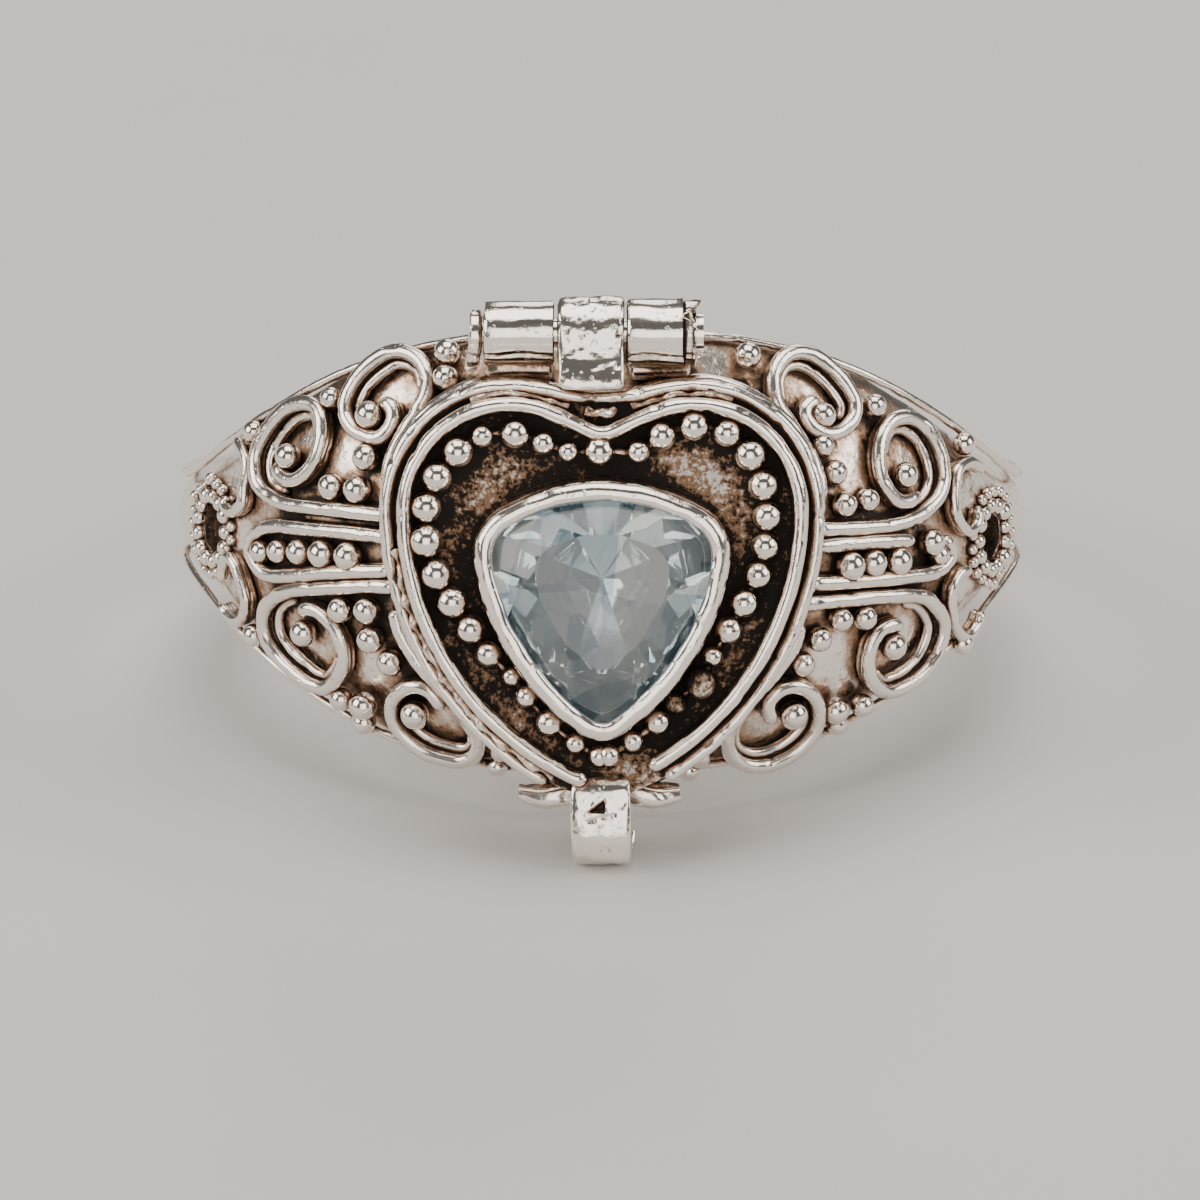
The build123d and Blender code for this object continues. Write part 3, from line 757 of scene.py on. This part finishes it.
NESTED = {
    "left_top": 0.25, "left_upper": -0.25, "left_lower": 0.25, "left_bottom": -0.25,
    "right_top": -0.25, "right_upper": 0.25, "right_lower": -0.25, "right_bottom": 0.25,
}

# %% Scroll wires
scrolls = bmesh.new()
for seed, (name, path) in enumerate(SCROLLS.items()):
    slim = 0.8 if "side" in name else 1.0
    add(scrolls, shoulder_wire(path, 0.26, 0.2 * slim, seed, thick=0.9))
    add(scrolls, shoulder_wire(path, 0.07, 0.195 * slim, seed + 40, thick=0.95))
    if name in NESTED:
        add(scrolls, shoulder_wire(path, 0.04, 0.13, seed + 80, part=(0.3, 0.8), inset=NESTED[name]))
for seed, path in enumerate(([(-5.2, 0.72), (-6.3, 0.74), (-7.7, 0.75)], [(-5.1, -0.62), (-6.2, -0.72), (-7.2, -0.84)],
                             [(5.2, 0.44), (6.2, 0.42), (7.4, 0.4)], [(5.1, -1.02), (6.0, -1.0), (6.9, -0.98)])):
    add(scrolls, shoulder_wire(path, 0.04, 0.12, seed + 120))
keep("scroll_wires", scrolls, "ring", "worn silver")

# %% [markdown]
# ## Granules on the shoulders
# Granules are snips of wire melted into balls. One sits in every curl, a row of them fills the
# channel beside the heart, and the rest fill the gaps. Tiny ones frame the windows at the sides.

# %% Shoulder granules, as (x, z, radius)
GRANULES = [
    (-5.86, 3.42, 0.33), (-7.97, 2.22, 0.3), (-7.58, -2.25, 0.31), (-4.72, -4.15, 0.34),
    (-3.91, 5.06, 0.3), (-3.96, 4.45, 0.29), (-6.89, 3.76, 0.26), (-8.9, 2.7, 0.26), (-5.96, 2.38, 0.31),
    (-6.85, 1.58, 0.31), (-6.18, 1.57, 0.32), (-6.62, -1.53, 0.3), (-5.93, -1.49, 0.32),
    (-5.85, -2.24, 0.32), (-5.35, -2.8, 0.31), (-6.64, -3.94, 0.27), (-6.05, -4.03, 0.33),
    (-6.05, -4.5, 0.28), (-8.92, -2.54, 0.27), (-2.57, -5.06, 0.25), (-2.07, -4.9, 0.25),
    (-2.65, -5.5, 0.24), (-8.7, -0.28, 0.27), (-8.22, -0.2, 0.28), (-7.68, -0.15, 0.3),
    (-7.08, -0.13, 0.33), (-6.41, -0.12, 0.33),
    (5.56, 3.44, 0.31), (7.68, 1.79, 0.3), (7.38, -2.57, 0.32), (4.82, -4.16, 0.34),
    (3.68, 4.99, 0.3), (6.92, 3.57, 0.27), (5.58, 2.7, 0.27), (5.88, 2.02, 0.29), (6.13, 1.2, 0.29),
    (6.72, 1.27, 0.28), (6.03, -1.73, 0.29), (6.65, -1.74, 0.29), (5.5, -2.21, 0.29),
    (5.07, -2.83, 0.29), (5.92, -4.16, 0.31), (5.98, -4.55, 0.26), (6.62, -4.1, 0.27),
    (9.27, 2.34, 0.26), (9.25, -2.84, 0.26), (2.45, -5.2, 0.27), (2.2, -5.6, 0.24),
    (6.26, -0.36, 0.34), (6.85, -0.34, 0.32), (7.49, -0.36, 0.33), (8.36, 0.02, 0.32),
    (8.6, -0.35, 0.25),
]
granules = bmesh.new()
for seed, (x, z, radius) in enumerate(GRANULES):
    centre, out = on_shoulder(x, z, radius * 0.8)
    ball(granules, centre, radius * 1.12, seed)
keep("shoulder_granules", granules, "ring", "bright silver")

seeds = bmesh.new()
for side in (-1, 1):
    for row, (count, away, size) in enumerate(((13, 0.86, 0.21), (21, 1.2, 0.15))):
        for index in range(count):
            turn = math.tau * (index + 0.5 * row) / count
            wander = noise.noise(Vector((index * 0.7, row * 5.0, side * 3.0)))
            far = away + 0.2 * wander
            centre, out = on_shoulder(side * WINDOW_X - 0.45 * side * math.cos(turn) * far,
                                      window_z(side) + math.sin(turn) * far, 0.05)
            ball(seeds, centre, size * (1 + 0.45 * wander), index, detail=3)
keep("seed_granules", seeds, "ring", "bright silver")

# %% [markdown]
# ## Edge wires of the band
# A thin wire is soldered along both edges of the shoulders. From the front it is the fine bright
# line above the scrolls.

# %% Edge wires
edges = bmesh.new()
for level in (-1, 1):
    spots, ups = [], []
    for index in range(281):
        angle = -100 + 200 * index / 280
        half = band_height(abs(angle))
        way = Vector((math.sin(math.radians(angle)), -math.cos(math.radians(angle)), 0))
        height = (half - 0.07) * level
        spots.append(way * (band_outside(abs(angle), height, half) + 0.03) + Vector((0, 0, height)))
        ups.append(way)
    add(edges, worked(rod(spots, ups, 0.11, 0.1, taper=tapered(281, 0.13, 3.0, 0.3)), 0.02, 1.5, level, 0.08))
keep("edge_wires", edges, "ring", "worn silver")

# %% [markdown]
# ## The hinge
# Three short tubes turn on a pin. They are rolled from sheet, so each is a little uneven and shows
# its closing seam. Two stand on the band and the middle one belongs to the lid, whose strap runs
# down over the front.

# %% Hinge tubes
def tube(left, right, radius, seed, flare=0.0):
    """A rolled tube from left to right along the hinge, with a hole for the pin."""
    bm = bmesh.new()
    reach = right - left
    profile = [(0.01, PIN_HOLE_R), (0.0, radius - 0.1), (0.03, radius - 0.02), (0.1, radius)]
    profile += [(reach * share, radius + 0.012) for share in (0.2, 0.35, 0.5, 0.65, 0.8)]
    profile += [(reach - 0.1, radius + flare * 0.5), (reach - 0.03, radius + flare), (reach, radius - 0.1 + flare),
                (reach - 0.01, PIN_HOLE_R)]
    rings = []
    for along, size in profile:
        place = Matrix.Translation((left + along, -HINGE_DEPTH, HINGE_Z)) @ Matrix.Rotation(math.pi / 2, 4, "Y")
        rings.append(bmesh.ops.create_circle(bm, segments=72, radius=size, matrix=place)["verts"])
    skin(bm, rings, closed=True)
    for vert in bm.verts:
        around = math.degrees(math.atan2(vert.co.z - HINGE_Z, -vert.co.y - HINGE_DEPTH))
        seam = math.exp(-((around + 38 + 3 * math.sin(vert.co.x * 4)) / 4)**2)
        fold = math.exp(-((around + 12) / 6)**2) * 0.5
        away = Vector((0, vert.co.y + HINGE_DEPTH, vert.co.z - HINGE_Z))
        if away.length > radius * 0.75:
            vert.co -= away.normalized() * (seam + fold) * 0.05
    return worked(bm, 0.05, 1.3, seed, nick=0.08)


knuckles = bmesh.new()
add(knuckles, tube(-2.95, -1.2, 0.81, 1))
curl = tube(-3.32, -2.99, 0.64, 5)
for vert in curl.verts:
    hang = max(0.0, HINGE_Z - 0.2 - vert.co.z)
    vert.co.z -= hang * 0.45 + 0.06
    vert.co.x -= hang * 0.25
add(knuckles, curl)
add(knuckles, tube(0.62, 2.04, 0.865, 2, flare=0.02))
sleeve = tube(1.98, 2.34, 0.8, 7, flare=0.04)
for vert in sleeve.verts:
    rise = vert.co.z - HINGE_Z
    torn = 0.16 * math.exp(-((rise - 0.82) / 0.13)**2) - 0.3 * math.exp(-((rise - 0.5) / 0.1)**2)
    vert.co.x += (vert.co.x > 2.2 and vert.co.y < -HINGE_DEPTH) * torn
add(knuckles, sleeve)
for left, right in ((-2.9, -1.25), (0.7, 2.2)):
    for depth, height, reach in ((11.35, 4.95, 0.42), (10.6, 4.9, 0.5), (9.95, 4.9, 0.5)):
        spots = [Vector((left + (right - left) * share, -depth, height)) for share in (0, 0.05, 0.3, 0.6, 0.95, 1)]
        strip = rod(spots, [Vector((0, 0, 1))] * 6, reach, 0.36, square=0.5, sides=24, taper=[0.8, 1, 1, 1, 1, 0.8])
        add(knuckles, worked(strip, 0.06, 1.3, depth, nick=0.1))
keep("hinge_knuckles", knuckles, "ring", "bright silver")

# %% [markdown]
# ## The catch
# The catch is a strip bent like a moustache under the tip of the heart. The clasp of the lid
# springs over it.

# %% Catch
catch = bmesh.new()
across = [-2.1 + 4.05 * index / 60 for index in range(61)]
droop = [-5.6 - 0.3 * math.sin(min(abs(x), 1.5) / 1.5 * math.pi / 2)**2 + 0.16 * max(0, abs(x) - 1.5)
         for x in across]
spots = [Vector((x, -11.55, z)) for x, z in zip(across, droop)]
add(catch, worked(rod(spots, [Vector((0, -1, 0))] * 61, 0.34, 0.56, square=0.75, sides=48,
                      taper=[1 - 0.45 * (max(0, abs(x) - 1.3) / 0.8)**1.5 for x in across]), 0.06, 1.1, 2, nick=0.14))
spots = [Vector((x, -11.85, z + 0.28 - 0.06 * abs(x))) for x, z in zip(across, droop)]
add(catch, worked(rod(spots, [Vector((0, -1, 0))] * 61, 0.07, 0.24, square=0.7, sides=16), 0.03, 2, 4))
for side in (-1, 1):
    spots = [Vector((side * x, -d, z)) for x, d, z in ((0.5, 11.6, -5.35), (1.0, 11.2, -5.2), (1.4, 10.6, -5.0))]
    add(catch, worked(rod(flowing(spots, 0.1), [Vector((0, 0, -1))] * 99, 0.34, 0.26, square=0.6), 0.06, 1.5, side))
keep("catch", catch, "ring", "worn silver")

# %% [markdown]
# ## The lid
# The lid is a plate with a heart-shaped wire standing on its edge. The field inside is left
# oxidised, so that the bezel and the bright granules stand out against it.

# %% Lid plate
def raised(spots, amount, width=0.8):
    """The outline with its cleft lifted a little, as the outer wire crosses it in a shallow bow."""
    return [Vector((spot.x, spot.y + amount * math.exp(-(spot.x / width)**2) * (spot.y > 0))) for spot in spots]


lid = bmesh.new()
outer = [(0.2, 12.34), (0.4, 12.36), (0.44, 12.5), (0.42, 12.72), (0.3, 12.78), (0.0, 12.8), (-0.16, 12.88)]
rings = [ring(lid, GIRDLE.spots(-0.25), 12.36)]
rings += [ring(lid, raised(HEART.spots(outset), 0.7 * max(0, outset)), depth) for outset, depth in outer]
for index in range(1, 15):
    share = index / 14
    spots = between_spots(HEART.spots(-0.16), GIRDLE.spots(0.2), share)
    rings.append(ring(lid, spots, 12.86 - 0.14 * math.sin(share * math.pi / 2)))
rings.append(ring(lid, GIRDLE.spots(-0.25), 12.7))
skin(lid, rings, closed=True)
worked(lid, 0.045, 2.2, 8)
keep("lid_plate", lid, "lid", "oxidised field")

# %% Lid wires


def open_heart(outset, depth, left, right, step=0.08):
    """The heart's outline from the right of the tip round the top to the left of the tip."""
    lifted = raised(HEART.spots(outset), 0.7 * outset) if outset else raised(HEART.spots(0), -0.11, 0.45)
    loop = [Vector((spot.x, -depth, spot.y)) for spot in lifted]
    start = next(index for index, spot in enumerate(loop) if index > AROUND / 2 and spot.x < left)
    line = loop[start:] + loop[:start]
    stop = next(index for index, spot in enumerate(line) if spot.x > 0.1 and spot.z < -3 and spot.x < right)
    return flowing(line[:stop], step)


rim = bmesh.new()
line = open_heart(0.0, 13.0, -0.34, 1.1)
add(rim, worked(rod(line, [Vector((0, -1, 0))] * len(line), 0.2, 0.25, sides=18,
                    taper=tapered(len(line), 0.08, 0.2, 0.5)), 0.035, 1.2, 5, nick=0.1))
keep("rim_wire", rim, "lid", "bright silver")

edge = bmesh.new()
line = open_heart(0.44, 12.72, -1.3, 1.5)
add(edge, worked(rod(line, [Vector((0, -1, 0))] * len(line), 0.17, 0.2, sides=16,
                     taper=tapered(len(line), 0.08, 0.17, 0.4)), 0.05, 1.4, 6, nick=0.16))
keep("lid_edge_wire", edge, "lid", "worn silver")

# %% [markdown]
# ## The bezel
# A bezel is a collar of thin strip. The stone rests on a ledge inside it, and the top edge is
# rubbed over with a burnisher, which leaves it bright, rounded and a little wavy.

# %% Bezel
bezel = bmesh.new()
profile = [(-0.26, 12.6), (-0.26, 13.06), (0.03, 13.1), (0.03, 13.7), (-0.06, 13.82), (-0.13, 13.9),
           (-0.1, 13.97), (0.0, 14.005), (0.12, 14.015), (0.24, 13.95), (0.32, 13.83), (0.35, 13.65),
           (0.35, 13.4), (0.33, 13.1), (0.34, 12.85), (0.38, 12.7)]
rings = [ring(bezel, GIRDLE.spots(outset), depth) for outset, depth in profile]
skin(bezel, rings, closed=True)
for vert in bezel.verts:
    if vert.co.y < -13.8:
        vert.co += noise.noise_vector(vert.co * 1.5) * 0.03
worked(bezel, 0.02, 1.8, 9, nick=0.04)
keep("bezel", bezel, "lid", "bright silver")

# %% Lid granules, as (x, z, radius)
LID_GRANULES = [
    (-0.07, 2.98, 0.32), (-0.85, 2.96, 0.22), (-1.47, 3.18, 0.25), (-2.17, 3.41, 0.32), (-2.99, 3.36, 0.25),
    (-3.59, 2.96, 0.34), (-4.11, 2.33, 0.34), (-4.38, 1.57, 0.34), (-4.38, 0.74, 0.37), (-4.13, -0.11, 0.35),
    (-3.74, -0.81, 0.35), (-3.29, -1.49, 0.32), (-2.84, -2.12, 0.29), (-2.27, -2.7, 0.2),
    (-1.89, -3.2, 0.24), (-1.32, -3.85, 0.29), (-0.67, -4.38, 0.22), (-0.08, -4.7, 0.22), (0.17, -4.68, 0.24),
    (0.77, -4.33, 0.22), (1.39, -3.83, 0.27), (1.82, -3.35, 0.25), (2.44, -2.85, 0.34), (2.76, -2.19, 0.22),
    (3.16, -1.52, 0.3), (3.54, -0.84, 0.31), (3.89, -0.13, 0.3), (4.06, 0.59, 0.31), (4.11, 1.35, 0.32),
    (4.01, 2.13, 0.34), (3.69, 2.88, 0.35), (3.11, 3.43, 0.31), (2.29, 3.61, 0.32), (1.49, 3.36, 0.31),
    (0.9, 2.96, 0.25),
]
OXIDISED = {21, 22}
beads, dull = bmesh.new(), bmesh.new()
for seed, (x, z, radius) in enumerate(LID_GRANULES):
    ball(dull if seed in OXIDISED else beads, Vector((x, -(12.75 + radius * 0.8), z)), radius * 1.06 + 0.03, seed)
keep("oxidised_granules", worked(dull, 0.03, 3.0, 1), "lid", "oxidised field")
links = [Vector((x, -12.82, z)) for x, z, radius in LID_GRANULES]
line = flowing(links + links[:1], 0.09)
add(beads, worked(rod(line, [Vector((0, -1, 0))] * len(line), 0.07, 0.07, sides=8), 0.05, 3.0, 2))
keep("lid_granules", beads, "lid", "bright silver")

# %% [markdown]
# ## Strap and clasp
# The strap is rolled round the middle of the hinge and soldered to the lid. The clasp at the other
# end is a bent tab that springs over the catch. Both have been filed and hammered, and carry dents.

# %% Strap
middle_x = (-1.12 + 0.56) / 2
strap = tube(-1.1, 0.54, 0.86, 3)
line = [Vector((middle_x, -(HINGE_DEPTH + 0.76 * math.cos(turn)), HINGE_Z + 0.76 * math.sin(turn)))
        for turn in [math.radians(100 - 8 * step) for step in range(13)]]
line += [Vector((middle_x, -depth, z)) for depth, z in (
    (12.67, 5.6), (12.71, 5.4), (12.77, 5.2), (12.86, 5.02), (12.94, 4.86), (12.99, 4.72), (13.0, 4.62), (12.98, 4.53))]
line = flowing(line, 0.06)
faces = []
for point in line:
    away = Vector((0, point.y + HINGE_DEPTH, point.z - HINGE_Z))
    faces.append(away.normalized() if point.z > HINGE_Z else Vector((0, -1, 0)))
front = rod(line, faces, 0.81, 0.16, square=0.4, sides=120, taper=tapered(len(line), 0.09, 0.1, 0.9))
add(strap, worked(worked(front, 0.06, 0.9, 11), 0.022, 3.0, 5, nick=0.12))
keep("hinge_strap", strap, "lid", "hammered silver")

# %% Clasp
CLASP_Z, CLASP_DEPTH, CLASP_R = -6.64, 12.2, 0.93
clasp_mid = CLASP_R - 0.2
line = [Vector((0.03, -(CLASP_DEPTH + clasp_mid - lean_in), z))
        for z, lean_in in ((-5.3, 0.3), (-5.45, 0.12), (-5.65, 0.03), (-6.0, 0.0), (-6.4, 0.0))]
line += [Vector((0.03, -(CLASP_DEPTH + clasp_mid * math.cos(turn)), CLASP_Z - clasp_mid * math.sin(turn)))
         for turn in [math.radians(9 * step) for step in range(21)]]
line = flowing(line, 0.05)
centre = Vector((0.03, -CLASP_DEPTH, CLASP_Z))
faces = [(point - centre).normalized() if point.z < CLASP_Z else Vector((0, -1, 0)) for point in line]
clasp = rod(line, faces, 0.76, 0.17, square=0.42, sides=140, taper=tapered(len(line), 0.05, 0.12, 0.9))
PIT = [Vector((-0.39, -6.14)), Vector((0.16, -6.14)), Vector((0.1, -5.77))]
clasp.normal_update()
for vert in clasp.verts:
    spot = Vector((vert.co.x - 0.03, vert.co.z))
    if vert.co.y < -12.6:
        inside = min((b - a).normalized().cross(spot - a) for a, b in zip(PIT, PIT[1:] + PIT[:1]))
        crumbs = 0.6 + noise.noise(vert.co * 6.0)
        groove = math.exp(-((spot.y + 6.27 - 0.3 * spot.x) / 0.04)**2) * (abs(spot.x) < 0.4)
        mark = math.exp(-(((spot - Vector((0.12, -7.12))).length - 0.12) / 0.03)**2) * (spot.y > -7.14)
        vert.co -= vert.normal * (0.2 * min(max(inside / 0.06, 0), 1) + crumbs * (0.07 * groove + 0.08 * mark))
    vert.co.x -= spot.x * 0.12 * min(max((CLASP_Z - spot.y) / 0.93, 0), 1)**3
bmesh.ops.rotate(clasp, verts=clasp.verts, cent=centre, matrix=Matrix.Rotation(math.radians(-5), 3, "Z"))
worked(clasp, 0.045, 1.0, 13, nick=0.1)
keep("clasp", clasp, "lid", "hammered silver")

# %% [markdown]
# ## Solder in the gap beside the rim
# On the lower left the gap between the two wires of the lid is full of lumpy solder.

# %% Solder
solder = bmesh.new()
line = [spot for spot in open_heart(0.24, 12.86, -0.9, 1.1) if spot.x < -1.2 and spot.z < 0.6]
add(solder, worked(rod(line, [Vector((0, -1, 0))] * len(line), 0.12, 0.12, sides=12), 0.16, 3.6, 3))
for side in (-1, 1):
    line = [spot for spot in open_heart(0.24, 12.82, -0.9, 1.1) if 0.75 < side * spot.x < 3.3 and spot.z > 3.4]
    add(solder, worked(rod(line, [Vector((0, -1, 0))] * len(line), 0.1, 0.09, sides=12), 0.15, 3.2, 8))
line = flowing([(-0.42, -12.86, 3.98), (0.0, -12.88, 3.92), (0.34, -12.86, 3.99)], 0.05)
add(solder, worked(rod(line, [Vector((0, -1, 0))] * len(line), 0.11, 0.08, sides=16), 0.16, 4.5, 4))
keep("solder", solder, "lid", "rough silver")

# %% [markdown]
# ## How deep in a recess each point is
# The oxide mask needs to know what a polishing cloth can't reach. From each point short rays go
# out over the half sphere; the share of them that soon hits metal is its cavity value. It is
# stored on the mesh.

# %% Cavity
RAYS = 16
REACH = 0.75


def ray_fan(count):
    """Even directions over the half sphere about Z."""
    fan = []
    for index in range(count):
        height = (index + 0.5) / count
        turn = index * 2.399963
        flat = math.sqrt(1 - height * height)
        fan.append(Vector((flat * math.cos(turn), flat * math.sin(turn), height)))
    return fan


def whole_tree():
    points, faces = [], []
    for bm, body, finish, slot in MODELS.values():
        bm.verts.index_update()
        start = len(points)
        points += [vert.co.copy() for vert in bm.verts]
        faces += [[start + vert.index for vert in face.verts] for face in bm.faces]
    return BVHTree.FromPolygons(points, faces)


def measure(bm, tree, fan):
    layer = bm.verts.layers.float.new("cavity")
    bm.normal_update()
    for vert in bm.verts:
        turn = vert.normal.to_track_quat("Z", "Y")
        start = vert.co + vert.normal * 0.012
        total = 0.0
        for ray in fan:
            distance = tree.ray_cast(start, turn @ ray, REACH)[3]
            if distance is not None:
                total += 1 - (distance / REACH) * 0.6
        vert[layer] = total / len(fan)


tree = whole_tree()
fan = ray_fan(RAYS)
for name, (bm, body, finish, slot) in MODELS.items():
    measure(bm, tree, fan)
print("Measured", sum(len(model[0].verts) for model in MODELS.values()), "points")

# %% [markdown]
# ## Laying the ring down
# Every piece goes through the one placing matrix, becomes an object that sits at the origin, and
# rides on its body. Sharp folds are marked, so that the rest can be shaded smooth.

# %% Objects
REPLACED = {"ring": "ring_body", "lid": "lid"}
for name, (bm, body, finish, slot) in MODELS.items():
    bmesh.ops.transform(bm, matrix=PLACE, verts=bm.verts)
    for vert in bm.verts:
        vert.co.z = max(vert.co.z, 0.00001)
    for face in bm.faces:
        face.smooth = True
    for edge in bm.edges:
        edge.smooth = len(edge.link_faces) != 2 or edge.calc_face_angle(0) < math.radians(50)
    mesh = bpy.data.meshes.new(name)
    bm.to_mesh(mesh)
    bm.free()
    mesh.materials.append(MATERIALS[finish])
    heights = [vert.co.z * 1000 for vert in mesh.vertices]
    print(name, "from", round(min(heights), 3), "to", round(max(heights), 3), "mm")
    piece = bpy.data.objects.new(name, mesh)
    bpy.context.scene.collection.objects.link(piece)
    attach(piece, body)
    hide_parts(REPLACED[body])

for node, material in (("stone", topaz()), ("hinge_pin", MATERIALS["bright silver"])):
    frame["nodes"][node].data.materials.clear()
    frame["nodes"][node].data.materials.append(material)

# %% [markdown]
# ## Floor and light
# A pale floor and large soft lamps give silver something even to mirror. The dim sky between the
# lamps leaves a darker band in every round form.

# %% Stage
floor = bpy.data.objects.new("floor", bpy.data.meshes.new("floor"))
bm = bmesh.new()
bmesh.ops.create_grid(bm, x_segments=2, y_segments=2, size=1.2)
bm.to_mesh(floor.data)
bm.free()
bpy.context.scene.collection.objects.link(floor)
paper = Finish("pale_floor")
tone = paper.blend(paper.noise(paper.place(), 0.05, 3.0), (0.62, 0.61, 0.6, 1), (0.68, 0.67, 0.66, 1))
floor.data.materials.append(paper.set(Base_Color=tone, Roughness=0.7))


def lamp(name, place, aim_at, size, power, tint):
    """A square soft lamp, placed in metres."""
    data = bpy.data.lights.new(name, "AREA")
    data.size = size
    data.energy = power
    data.color = tint
    made = bpy.data.objects.new(name, data)
    made.matrix_world = Matrix.Translation(place) @ (Vector(aim_at) - Vector(place)).to_track_quat("-Z", "Y").to_matrix().to_4x4()
    bpy.context.scene.collection.objects.link(made)


WARM = (1.0, 0.95, 0.89)
lamp("front", (0.0, -0.62, 0.2), RING_CENTRE, 0.5, 1.8, WARM)
lamp("left", (-0.5, -0.15, 0.3), RING_CENTRE, 0.42, 2.1, WARM)
lamp("right", (0.5, -0.1, 0.28), RING_CENTRE, 0.38, 1.6, WARM)
lamp("top", (0.0, 0.05, 0.6), RING_CENTRE, 0.5, 2.7, WARM)
lamp("back", (0.1, 0.5, 0.3), RING_CENTRE, 0.3, 0.7, WARM)
world = bpy.data.worlds.new("studio")
bpy.context.scene.world = world
world.use_nodes = True
world.node_tree.nodes["Background"].inputs["Color"].default_value = (1.0, 0.955, 0.91, 1)
world.node_tree.nodes["Background"].inputs["Strength"].default_value = 0.12

# %% Final update
bpy.context.view_layer.update()
